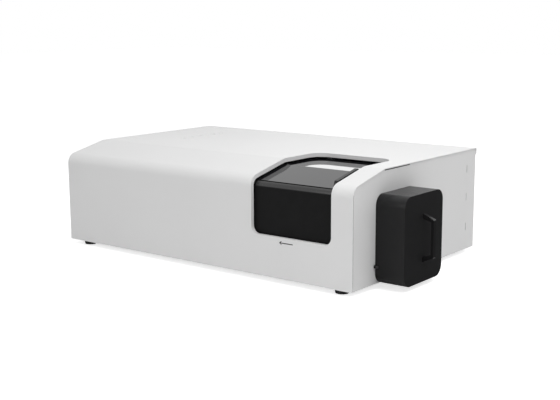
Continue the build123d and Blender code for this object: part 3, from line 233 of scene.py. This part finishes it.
def satinLid():  # sprayed satin, polished where the lid bends back under the window
    lid = Finish("lid_paint", IOR=lidLook["ior"])
    haze = lid.noise(*lidLook["haze"])
    height = lid.part(lid.place, 2)
    bend, slope = [lid.between(height, lidLook[start], lidLook[start] + lidLook["bendEdge"])
                   for start in ("bendStart", "bendEnd")]
    lid.feed("Base Color", lid.mix(haze, *[tinted(lidLook["tone"], share)
                                           for share in lidLook["tints"]]))
    gloss = lidLook["bendPolish"] * bend
    lid.feed("Roughness", lidLook["roughness"] + lidLook["hazeRoughness"] * haze - gloss)
    fade = (lidLook["bendCoat"] - lidLook["slopeCoat"]) * slope
    lid.feed("Coat Weight", lidLook["bendCoat"] * bend - fade)
    lid.feed("Coat Roughness", lidLook["coatRoughness"])
    lid.feed("Coat IOR", lidLook["coatIor"])
    return lid.feed("Normal", lid.bump(lid.noise(*lidLook["spray"]), *lidLook["bump"]))


paneLook = {"ior": 1.65, "wipe": (9, 4, 0.6, (1, 3.5, 1), 0.4), "clean": (0.006, 0.006, 0.007),
            "hazy": (0.012, 0.012, 0.014), "roughness": 0.025, "wipeRoughness": 0.03,
            "wave": (5, 2), "bump": (0.03, 0.0008)}


def smokedPane():  # dark polished acrylic with a trace of wiping haze
    pane = Finish("smoked_glass", IOR=paneLook["ior"])
    wipe = pane.noise(*paneLook["wipe"])
    pane.feed("Base Color", pane.mix(wipe, paneLook["clean"], paneLook["hazy"]))
    pane.feed("Roughness", paneLook["roughness"] + paneLook["wipeRoughness"] * wipe)
    return pane.feed("Normal", pane.bump(pane.noise(*paneLook["wave"]), *paneLook["bump"]))


mattLook = {"tub": {"tone": (0.012, 0.012, 0.012), "roughness": 0.7, "ior": 1.4},
            # the seam tone is the painted shade of gaps
            "seam": {"tone": (0.006, 0.006, 0.006), "roughness": 0.8, "ior": 1.03},
            "dust": (700, 4, 0.7), "tints": (0.75, 1.4), "dustRoughness": 0.12,
            "bump": (0.35, 0.00008)}


def mattBlack(name, tone, roughness, ior):
    matt = Finish(name, IOR=ior)
    dust = matt.noise(*mattLook["dust"])
    matt.feed("Base Color", matt.mix(dust, *[tinted(tone, share) for share in mattLook["tints"]]))
    matt.feed("Roughness", roughness + mattLook["dustRoughness"] * (dust - noiseMiddle))
    return matt.feed("Normal", matt.bump(dust, *mattLook["bump"]))


foamLook = {"ior": 1.35, "cells": 1100, "roughness": 0.86, "cellRoughness": 0.1,
            "stops": [(0.05, (0.004, 0.004, 0.004)), (0.6, (0.028, 0.028, 0.029))],
            "bump": (0.9, 0.0006)}


def openFoam():
    foam = Finish("foam", IOR=foamLook["ior"])
    holes = foam.cells(foamLook["cells"], "F1")
    foam.feed("Base Color", foam.ramp(holes, foamLook["stops"]))
    foam.feed("Roughness", foamLook["roughness"] + foamLook["cellRoughness"] * holes)
    return foam.feed("Normal", foam.bump(holes, *foamLook["bump"]))


rubberLook = {"ior": 1.4, "bloom": (120, 5, 0.65), "clean": (0.010, 0.010, 0.010),
              "bloomed": (0.022, 0.022, 0.023), "roughness": 0.6, "bloomRoughness": 0.2,
              "grain": (1600, 3), "bump": (0.35, 0.0001)}


def feetRubber():
    rubber = Finish("rubber", IOR=rubberLook["ior"])
    bloom = rubber.noise(*rubberLook["bloom"])
    rubber.feed("Base Color", rubber.mix(bloom, rubberLook["clean"], rubberLook["bloomed"]))
    rubber.feed("Roughness", rubberLook["roughness"] + rubberLook["bloomRoughness"] * bloom)
    grain = rubber.noise(*rubberLook["grain"])
    return rubber.feed("Normal", rubber.bump(grain, *rubberLook["bump"]))


castLook = {"sand": (1400, 4, 0.7), "flow": (12, 4, 0.6), "dark": (0.50, 0.50, 0.51),
            "light": (0.62, 0.62, 0.63), "roughness": 0.42, "sandRoughness": 0.16,
            "bump": (0.5, 0.00015)}


def castAlloy():  # sand-blasted casting
    cast = Finish("cast_aluminium", Metallic=1.0)
    sand = cast.noise(*castLook["sand"])
    flow = cast.noise(*castLook["flow"])
    cast.feed("Base Color", cast.mix(flow, castLook["dark"], castLook["light"]))
    cast.feed("Roughness", castLook["roughness"] + castLook["sandRoughness"] * sand)
    return cast.feed("Normal", cast.bump(sand, *castLook["bump"]))


dyeLook = {"ior": 1.6, "lines": (60, 3, 0.5, (1, 22, 22)), "dark": (0.016, 0.016, 0.018),
           "light": (0.032, 0.032, 0.035), "roughness": 0.32, "lineRoughness": 0.16,
           "bump": (0.25, 0.00005)}


def anodised():
    dye = Finish("anodised_black", IOR=dyeLook["ior"])
    lines = dye.noise(*dyeLook["lines"])
    dye.feed("Base Color", dye.mix(lines, dyeLook["dark"], dyeLook["light"]))
    dye.feed("Roughness", dyeLook["roughness"] + dyeLook["lineRoughness"] * lines)
    return dye.feed("Normal", dye.bump(lines, *dyeLook["bump"]))


zincLook = {"spangle": 75, "dark": (0.46, 0.47, 0.48), "light": (0.60, 0.61, 0.62),
            "roughness": 0.30, "spangleRoughness": 0.16, "smear": (30, 4),
            "smearRoughness": 0.08, "grain": (900, 3), "bump": (0.2, 0.00005)}


def zincSheet():  # plated sheet with a faint spangle
    zinc = Finish("zinc_steel", Metallic=1.0)
    spangle = zinc.grey(zinc.cells(zincLook["spangle"], "F1", output="Color"))
    smear = zincLook["smearRoughness"] * zinc.noise(*zincLook["smear"])
    zinc.feed("Base Color", zinc.mix(spangle, zincLook["dark"], zincLook["light"]))
    zinc.feed("Roughness", zincLook["roughness"] + zincLook["spangleRoughness"] * spangle + smear)
    return zinc.feed("Normal", zinc.bump(zinc.noise(*zincLook["grain"]), *zincLook["bump"]))


steelLook = {"lines": (90, 3, 0.5, (1, 30, 30)), "dark": (0.52, 0.52, 0.53),
             "light": (0.70, 0.70, 0.70), "roughness": 0.18, "lineRoughness": 0.18,
             "bump": (0.2, 0.00004)}


def groundSteel():
    steel = Finish("bright_steel", Metallic=1.0)
    lines = steel.noise(*steelLook["lines"])
    steel.feed("Base Color", steel.mix(lines, steelLook["dark"], steelLook["light"]))
    steel.feed("Roughness", steelLook["roughness"] + steelLook["lineRoughness"] * lines)
    return steel.feed("Normal", steel.bump(lines, *steelLook["bump"]))


mirrorLook = {"film": (18, 3), "thin": (0.82, 0.83, 0.86), "thick": (0.90, 0.90, 0.92),
              "roughness": 0.03, "filmRoughness": 0.05, "ruling": 450, "bump": (0.04, 0.00002)}


def mirrorCoat():  # evaporated coat; the fine waves stand for the gratings' ruling
    coat = Finish("mirror_coat", Metallic=1.0)
    film = coat.noise(*mirrorLook["film"])
    ruled = coat.node("ShaderNodeTexWave", {"bands_direction": "DIAGONAL"},
                      {"Vector": coat.place, "Scale": mirrorLook["ruling"]})
    coat.feed("Base Color", coat.mix(film, mirrorLook["thin"], mirrorLook["thick"]))
    coat.feed("Roughness", mirrorLook["roughness"] + mirrorLook["filmRoughness"] * film)
    return coat.feed("Normal", coat.bump(coat.grey(ruled), *mirrorLook["bump"]))


glassLook = {"silica": {"tone": (0.95, 0.97, 0.98), "low": 0.0, "high": 0.04},
             "filter": {"tone": (0.30, 0.38, 0.55), "low": 0.01, "high": 0.05},
             "ior": 1.46, "film": (60, 3), "filmTint": 0.94, "bump": (0.03, 0.0002)}


def clearSilica(name, tone, low, high):  # low and high: the ends of its roughness
    glass = Finish(name, IOR=glassLook["ior"], Transmission_Weight=1.0)
    film = glass.noise(*glassLook["film"])
    glass.feed("Base Color", glass.mix(film, tinted(tone, glassLook["filmTint"]), tone))
    glass.feed("Roughness", low + (high - low) * film)
    return glass.feed("Normal", glass.bump(film, *glassLook["bump"]))


boardLook = {"ior": 1.5, "mask": (0.012, 0.085, 0.035), "track": (0.03, 0.17, 0.07),
             "offset": 0.37, "routing": {"Scale": 55.0, "Mortar Size": 0.05,
                                         "Brick Width": 1.9, "Row Height": 0.16},
             "roughness": 0.28, "grain": (200, 2), "grainRoughness": 0.1, "bump": (0.3, 0.00005)}


def solderMask():  # green board with routed tracks under the mask
    board = Finish("board_green", IOR=boardLook["ior"])
    values = {"Vector": board.place, "Color1": (0, 0, 0), "Color2": (0, 0, 0), "Mortar": (1, 1, 1),
              **boardLook["routing"]}
    tracks = board.grey(board.node("ShaderNodeTexBrick", {"offset": boardLook["offset"]}, values))
    board.feed("Base Color", board.mix(tracks, boardLook["mask"], boardLook["track"]))
    grain = board.noise(*boardLook["grain"])
    board.feed("Roughness", boardLook["roughness"] + boardLook["grainRoughness"] * grain)
    return board.feed("Normal", board.bump(tracks, *boardLook["bump"]))


sphereLook = {"ior": 1.38, "grain": (1200, 4, 0.7), "dark": (0.80, 0.80, 0.78),
              "light": (0.90, 0.90, 0.885), "roughness": 0.62, "grainRoughness": 0.15,
              "bump": (0.3, 0.00008)}


def sinteredWhite():  # the detector's sphere
    white = Finish("sphere_white", IOR=sphereLook["ior"])
    grain = white.noise(*sphereLook["grain"])
    white.feed("Base Color", white.mix(grain, sphereLook["dark"], sphereLook["light"]))
    white.feed("Roughness", sphereLook["roughness"] + sphereLook["grainRoughness"] * grain)
    return white.feed("Normal", white.bump(grain, *sphereLook["bump"]))


inkLook = {"ior": 1.45, "grain": (2500, 3), "dark": (0.018, 0.018, 0.019),
           "light": (0.035, 0.035, 0.036), "roughness": 0.42, "grainRoughness": 0.2,
           "bump": (0.3, 0.00002)}


def printInk():
    ink = Finish("print_ink", IOR=inkLook["ior"])
    grain = ink.noise(*inkLook["grain"])
    ink.feed("Base Color", ink.mix(grain, inkLook["dark"], inkLook["light"]))
    ink.feed("Roughness", inkLook["roughness"] + inkLook["grainRoughness"] * grain)
    return ink.feed("Normal", ink.bump(grain, *inkLook["bump"]))


finishes = {
    "cover_paint": powderCoat("cover_paint", paintLook["cover"]),
    "panel_paint": powderCoat("panel_paint", paintLook["panel"]),
    "lid_paint": satinLid(),
    "smoked_glass": smokedPane(),
    "module_black": shellBlack("module_black", **shellLook["module"]),
    "handle_black": shellBlack("handle_black", **shellLook["handle"]),
    "tub_black": mattBlack("tub_black", **mattLook["tub"]),
    "foam": openFoam(),
    "rubber": feetRubber(),
    "cast_aluminium": castAlloy(),
    "anodised_black": anodised(),
    "zinc_steel": zincSheet(),
    "bright_steel": groundSteel(),
    "mirror_coat": mirrorCoat(),
    "silica": clearSilica("silica", **glassLook["silica"]),
    "filter_glass": clearSilica("filter_glass", **glassLook["filter"]),
    "motor_black": mouldedBlack("motor_black", **mouldLook["motor"]),
    "board_green": solderMask(),
    "black_plastic": mouldedBlack("black_plastic", **mouldLook["plastic"]),
    "sphere_white": sinteredWhite(),
}
trimFinishes = {
    "ink": printInk(),
    "seam": mattBlack("seam_black", **mattLook["seam"]),  # the painted shade of gaps, which stays dark when seen flat
}
for name, node in frame["nodes"].items():
    node.data.materials.clear()
    node.data.materials.append(finishes[slotOf[name]].material)
print("finishes made:", len(finishes) + len(trimFinishes))

smoothBelow = 35  # degrees between faces; a sharper edge stays crisp


def addPiece(name, shape, finish, body):
    mesh = bpy.data.meshes.new(name)
    bmesh.ops.recalc_face_normals(shape, faces=shape.faces)
    shape.to_mesh(mesh)
    shape.free()
    piece = bpy.data.objects.new(name, mesh)
    scene.collection.objects.link(piece)
    mesh.materials.append(finish.material)
    mesh.shade_smooth()
    mesh.set_sharp_from_angle(angle=math.radians(smoothBelow))
    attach(piece, body)
    return piece


def facing(centre, direction, turn=0.0):  # local +Z turned to a direction
    towards = Vector(direction).to_track_quat("Z", "Y").to_matrix().to_4x4()
    return Matrix.Translation(centre) @ towards @ Matrix.Rotation(turn, 4, "Z")


def ringOf(shape, points, matrix):
    return [shape.verts.new(matrix @ Vector(point)) for point in points]


def circlePoints(radius, height, count):
    turns = [math.tau * k / count for k in range(count)]
    return [(radius * math.cos(turn), radius * math.sin(turn), height) for turn in turns]


def joinRings(shape, lower, upper):
    for k in range(len(lower)):
        shape.faces.new((lower[k - 1], lower[k], upper[k], upper[k - 1]))


def raisedOutline(shape, outline, matrix, thickness):  # a flat closed outline with a thickness
    low = ringOf(shape, [(x, y, 0) for x, y in outline], matrix)
    high = ringOf(shape, [(x, y, thickness) for x, y in outline], matrix)
    joinRings(shape, low, high)
    shape.faces.new(low[::-1])
    shape.faces.new(high)


# the plain arrow printed under the opening, showing which way the lid slides, in millimetres
arrowLook = {"tip": 781.5, "end": 824.0, "height": 93.0, "stroke": 2.6, "headLength": 6.0,
             "headHeight": 9.0, "barbShare": 1.25, "notch": 1.9, "ink": 0.06, "sunk": 0.04}


def slideArrow():
    tip, end, mid = arrowLook["tip"], arrowLook["end"], arrowLook["height"]
    half, rise = arrowLook["stroke"] / 2, arrowLook["headHeight"] / 2
    head = tip + arrowLook["headLength"]
    barb = arrowLook["stroke"] * arrowLook["barbShare"]
    neck = tip + arrowLook["notch"] + barb
    side = [(head, rise), (head + barb, rise), (neck, half), (end, half)]
    outline = [(tip, mid)] + [(x, mid + z) for x, z in side]
    outline += [(x, mid - z) for x, z in reversed(side)]
    flat = [(x / mmPerMetre, z / mmPerMetre) for x, z in outline]
    matrix = Matrix.Translation(at(0, arrowLook["sunk"], 0)) @ Matrix.Rotation(math.pi / 2, 4, "X")
    shape = bmesh.new()
    raisedOutline(shape, flat, matrix, arrowLook["ink"] / mmPerMetre)
    return addPiece("slide_arrow", shape, trimFinishes["ink"], "base")


slideArrow()

# side outline of the folded cover, which the lid and the side panels follow further in
bodyLook = {"slopeFoot": 249.5, "slopeDrop": 31.5, "slopeDepth": 140.0, "top": 281.0,
            "frontBend": 30.0, "crestBend": 8.0, "leastBend": 1.5, "arcSteps": 8}
slopeAngle = math.atan2(bodyLook["slopeDrop"], bodyLook["slopeDepth"])


def onSlope(y, inset):
    return bodyLook["slopeFoot"] + y * math.tan(slopeAngle) - inset / math.cos(slopeAngle)


def roundedTurn(corner, before, after, radius):  # points of the arc that rounds one corner
    towards, away = (before - corner).normalized(), (after - corner).normalized()
    halfTurn = towards.angle(away) / 2
    middle = corner + (towards + away).normalized() * (radius / math.sin(halfTurn))
    start = corner + towards * (radius / math.tan(halfTurn)) - middle
    end = corner + away * (radius / math.tan(halfTurn)) - middle
    steps = bodyLook["arcSteps"]
    return [middle + start.slerp(end, k / steps).normalized() * radius for k in range(steps + 1)]


def bodyOutline(inset, bottom, back):  # from the foot of the front wall over the slope to the back
    top = bodyLook["top"] - inset
    bend = Vector((inset, onSlope(inset, inset)))
    crest = Vector(((top - onSlope(0, inset)) / math.tan(slopeAngle), top))
    foot, end = Vector((inset, bottom)), Vector((back, top))
    frontRadius = max(bodyLook["frontBend"] - inset, bodyLook["leastBend"])
    crestRadius = max(bodyLook["crestBend"] - inset, bodyLook["leastBend"])
    return ([foot] + roundedTurn(bend, foot, crest, frontRadius)
            + roundedTurn(crest, bend, end, crestRadius) + [end])


# dark edging of the side panels, which paints the shade of the gap between cover and panel: it
# shows up the front wall and for a short way behind the crest
seamShadeLook = {"from": 2.9, "to": 4.95, "bottom": 3.0, "crestBack": 258.0, "proud": 0.12,
              "below": 0.4}
seamShadeFaces = {"right": (998.5, 1), "left": (1.5, -1)}  # the panel's face, and which way is out
seamShadeRuns = {"front": slice(0, 4), "crest": slice(14, 20)}  # points of the outline it follows


def panelSeamShade(name, face, outward, run, finish):
    bottom, back = seamShadeLook["bottom"], seamShadeLook["crestBack"]
    outer, inner = [bodyOutline(seamShadeLook[word], bottom, back)[run] for word in ("from", "to")]
    out, sunk = face + outward * seamShadeLook["proud"], face - outward * seamShadeLook["below"]
    shape = bmesh.new()
    corners = ((outer, sunk), (outer, out), (inner, out), (inner, sunk))
    lines = [[shape.verts.new(at(x, *point)) for point in line] for line, x in corners]
    for k in range(4):
        for n in range(len(outer) - 1):
            shape.faces.new((lines[k - 1][n], lines[k - 1][n + 1], lines[k][n + 1], lines[k][n]))
    for end in (0, -1):
        shape.faces.new([line[end] for line in lines])
    return addPiece(name, shape, finish, "base")


# painted gap shade along both side panels, in the feet's rubber up the front and in the dark seam
# finish behind the crest
for side, (face, outward) in seamShadeFaces.items():
    panelSeamShade(side + "_front_edging", face, outward, seamShadeRuns["front"], finishes["rubber"])
    panelSeamShade(side + "_crest_edging", face, outward, seamShadeRuns["crest"], trimFinishes["seam"])

# the dark bead along the window's front edge, which paints the shade of the gap between lid and
# window
windowShadeLook = {"from": 687.2, "to": 944.3, "front": 24.0, "back": 28.6, "below": 0.6, "proud": 0.12,
            "recess": 16.0}


def windowEdgeShade():
    shape = bmesh.new()
    front, back = windowShadeLook["front"], windowShadeLook["back"]
    low, high = -windowShadeLook["below"], windowShadeLook["proud"]
    rings = []
    for y, lift in ((front, low), (front, high), (back, high), (back, low)):
        z = onSlope(y, windowShadeLook["recess"]) + lift
        rings.append([shape.verts.new(at(x, y, z)) for x in (windowShadeLook["from"], windowShadeLook["to"])])
    for k in range(4):
        shape.faces.new((rings[k - 1][0], rings[k - 1][1], rings[k][1], rings[k][0]))
    for side in (0, 1):
        shape.faces.new([ring[side] for ring in rings])
    return addPiece("window_edge_shade", shape, trimFinishes["seam"], "lid")


windowEdgeShade()
# the edging and the window bead are painted gap shade
print("arrow, edging and window bead set")

# shares of a head's diameter or radius; the profile's points are shares of its radius and rise
screwLook = {"domeShare": 0.42, "recessShare": 0.55, "armShare": 0.17, "hexShare": 0.85,
             "recessDepth": 0.6, "sides": 36, "seedStep": 7,
             "profile": [(1.0, -0.15), (1.0, 0.28), (0.94, 0.55), (0.82, 0.80), (0.66, 0.96)]}
screwRows = {
    "rear_panel_screws": {
        "places": [(x, 612, z) for x in (34, 262, 500, 738, 966) for z in (14, 262)],
        "direction": (0, 1, 0), "diameter": 6.0, "slotName": "zinc_steel"},
    "fan_guard_screws": {
        "places": [(150 + dx, 614.2, 112 + dz) for dx in (-35.8, 35.8) for dz in (-35.8, 35.8)],
        "direction": (0, 1, 0), "diameter": 6.4, "slotName": "zinc_steel"},
    "tray_screws": {
        "places": [(x, y, 2.0) for x in (140, 320, 500, 680, 860) for y in (24, 600)]
                  + [(x, y, 2.0) for x in (24, 976) for y in (200, 420)],
        "direction": (0, 0, -1), "diameter": 6.0, "slotName": "zinc_steel"},
    "cell_plate_screws": {
        "places": [(x, y, 102.0) for x in (768, 864) for y in (135, 251)],
        "direction": (0, 0, 1), "diameter": 6.5, "slotName": "bright_steel", "socket": "hex"},
}


def recessOutline(socket, radius, height):  # a cross or a hexagon at one height
    reach, half = radius * screwLook["recessShare"], radius * screwLook["armShare"]
    if socket == "hex":
        return circlePoints(reach * screwLook["hexShare"], height, 6)
    quarter = [(reach, -half), (reach, half), (half, half)]
    turns = ((1, 0), (0, 1), (-1, 0), (0, -1))  # cosine and sine of the quarter turns
    return [(x * c - y * s, x * s + y * c, height) for c, s in turns for x, y in quarter]


def screwHead(shape, centre, direction, diameter, turn, socket):
    matrix = facing(centre, direction, turn)
    radius, rise = diameter / 2, diameter * screwLook["domeShare"]
    rings = [ringOf(shape, circlePoints(radius * r, rise * h, screwLook["sides"]), matrix)
             for r, h in screwLook["profile"]]
    for lower, upper in zip(rings, rings[1:]):
        joinRings(shape, lower, upper)
    shape.faces.new(rings[0][::-1])
    mouth, floor = [ringOf(shape, recessOutline(socket, radius, height), matrix)
                    for height in (rise, rise * (1 - screwLook["recessDepth"]))]
    joinRings(shape, mouth, floor)
    shape.faces.new(floor)
    edges = [shape.edges.get((ring[k - 1], ring[k]))
             for ring in (rings[-1], mouth) for k in range(len(ring))]
    bmesh.ops.bridge_loops(shape, edges=edges)


def screwRow(name, places, direction, diameter, slotName, socket="cross"):
    shape = bmesh.new()
    dice = random.Random(len(name) * screwLook["seedStep"] + len(places))
    for place in places:
        turn = dice.uniform(0, math.tau)
        screwHead(shape, at(*place), direction, diameter / mmPerMetre, turn, socket)
    return addPiece(name, shape, finishes[slotName], "base")


for name, row in screwRows.items():
    screwRow(name, **row)
print("screws set:", sum(len(row["places"]) for row in screwRows.values()))


stageLook = {"floorTone": 0.86, "floorGlow": 0.72, "size": 14.0, "grid": 4, "ior": 1.3,
             "roughness": 0.9, "specular": 0.0, "weave": (3, 2), "weaveShare": 0.99,
             "skyStrength": 0.333}


def studioFloor():
    mesh = bpy.data.meshes.new("studio_floor")
    shape = bmesh.new()
    grid = stageLook["grid"]
    bmesh.ops.create_grid(shape, x_segments=grid, y_segments=grid, size=stageLook["size"])
    shape.to_mesh(mesh)
    shape.free()
    floor = bpy.data.objects.new("studio_floor", mesh)
    scene.collection.objects.link(floor)
    sheet = Finish("studio_floor", IOR=stageLook["ior"], Roughness=stageLook["roughness"],
                   Specular_IOR_Level=stageLook["specular"])
    tone, weave = stageLook["floorTone"], sheet.noise(*stageLook["weave"])
    sheet.feed("Base Color", sheet.mix(weave, (tone * stageLook["weaveShare"],) * 3, (tone,) * 3))
    seen = sheet.rays("Is Camera Ray", "Is Transmission Ray")
    glow = sheet.mix(seen, (0.0, 0.0, 0.0), (stageLook["floorGlow"],) * 3)
    sheet.feed("Emission Color", glow)
    sheet.feed("Emission Strength", 1.0)
    mesh.materials.append(sheet.material)


def studioSky():  # dim for the light it gives, white where it is seen
    world = bpy.data.worlds.new("studio_sky")
    scene.world = world
    world.use_nodes = True
    sky = NodeMaker(world.node_tree)
    white = (1.0, 1.0, 1.0)
    dim = sky.tree.nodes["Background"]
    sky.give(dim.inputs["Color"], white)
    sky.give(dim.inputs["Strength"], stageLook["skyStrength"])
    bright = sky.node("ShaderNodeBackground", None, {"Color": white, "Strength": 1.0})
    seen = sky.rays("Is Camera Ray", "Is Glossy Ray", "Is Transmission Ray")
    shaders = {0: seen, 1: Flow(sky, dim.outputs[0]), 2: bright}
    blend = sky.node("ShaderNodeMixShader", None, shaders)
    sky.give(sky.tree.nodes["World Output"].inputs["Surface"], blend)


lampLook = {  # metres and watts
    "top_box": {"place": (1.3, -0.5, 2.2), "aim": (0.2, 0.0, 0.1),
                "size": (2.0, 2.0), "power": 29.7},
    "overhead": {"place": (0.3, 0.0, 2.6), "aim": (0.2, 0.01, 0.0),
                 "size": (3.0, 3.0), "power": 15.8},
    "front_box": {"place": (-0.3, -3.0, 1.2), "aim": (0.0, -0.2, 0.15),
                  "size": (2.4, 1.6), "power": 13.9},
    "back_box": {"place": (1.5, 3.0, 1.6), "aim": (0.2, 0.0, 0.15),
                 "size": (2.0, 2.0), "power": 14.4},
    "back_card": {"place": (-1.85, 3.2, 0.88), "aim": (0.3, -0.1, 0.25),
                  "size": (1.4, 0.35), "power": 1.4},
}


def softBox(name, look):
    light = bpy.data.lights.new(name, "AREA")
    light.shape = "RECTANGLE"
    light.size, light.size_y = look["size"]
    light.energy = look["power"]
    lamp = bpy.data.objects.new(name, light)
    scene.collection.objects.link(lamp)
    lamp.matrix_world = facing(Vector(look["place"]), Vector(look["place"]) - Vector(look["aim"]))
    lamp.visible_camera = False


cameraLook = {"place": (1.7138, -2.2156, 0.6577), "turn": 37.90, "tilt": 79.61, "roll": -0.27,
              "lens": 64.24, "sensor": 36.0, "near": 0.05, "far": 60.0}


def studioCamera():
    camera = bpy.data.cameras.new("studio_camera")
    camera.sensor_width, camera.lens = cameraLook["sensor"], cameraLook["lens"]
    camera.clip_start, camera.clip_end = cameraLook["near"], cameraLook["far"]
    holder = bpy.data.objects.new("studio_camera", camera)
    scene.collection.objects.link(holder)
    turn, tilt, roll = (math.radians(cameraLook[word]) for word in ("turn", "tilt", "roll"))
    holder.matrix_world = (Matrix.Translation(cameraLook["place"]) @ Matrix.Rotation(turn, 4, "Z")
                           @ Matrix.Rotation(tilt, 4, "X") @ Matrix.Rotation(roll, 4, "Z"))
    scene.camera = holder


studioFloor()
studioSky()
for name, look in lampLook.items():
    softBox(name, look)
studioCamera()
scene.view_settings.view_transform = "Standard"
print("stage, lamps and camera ready")
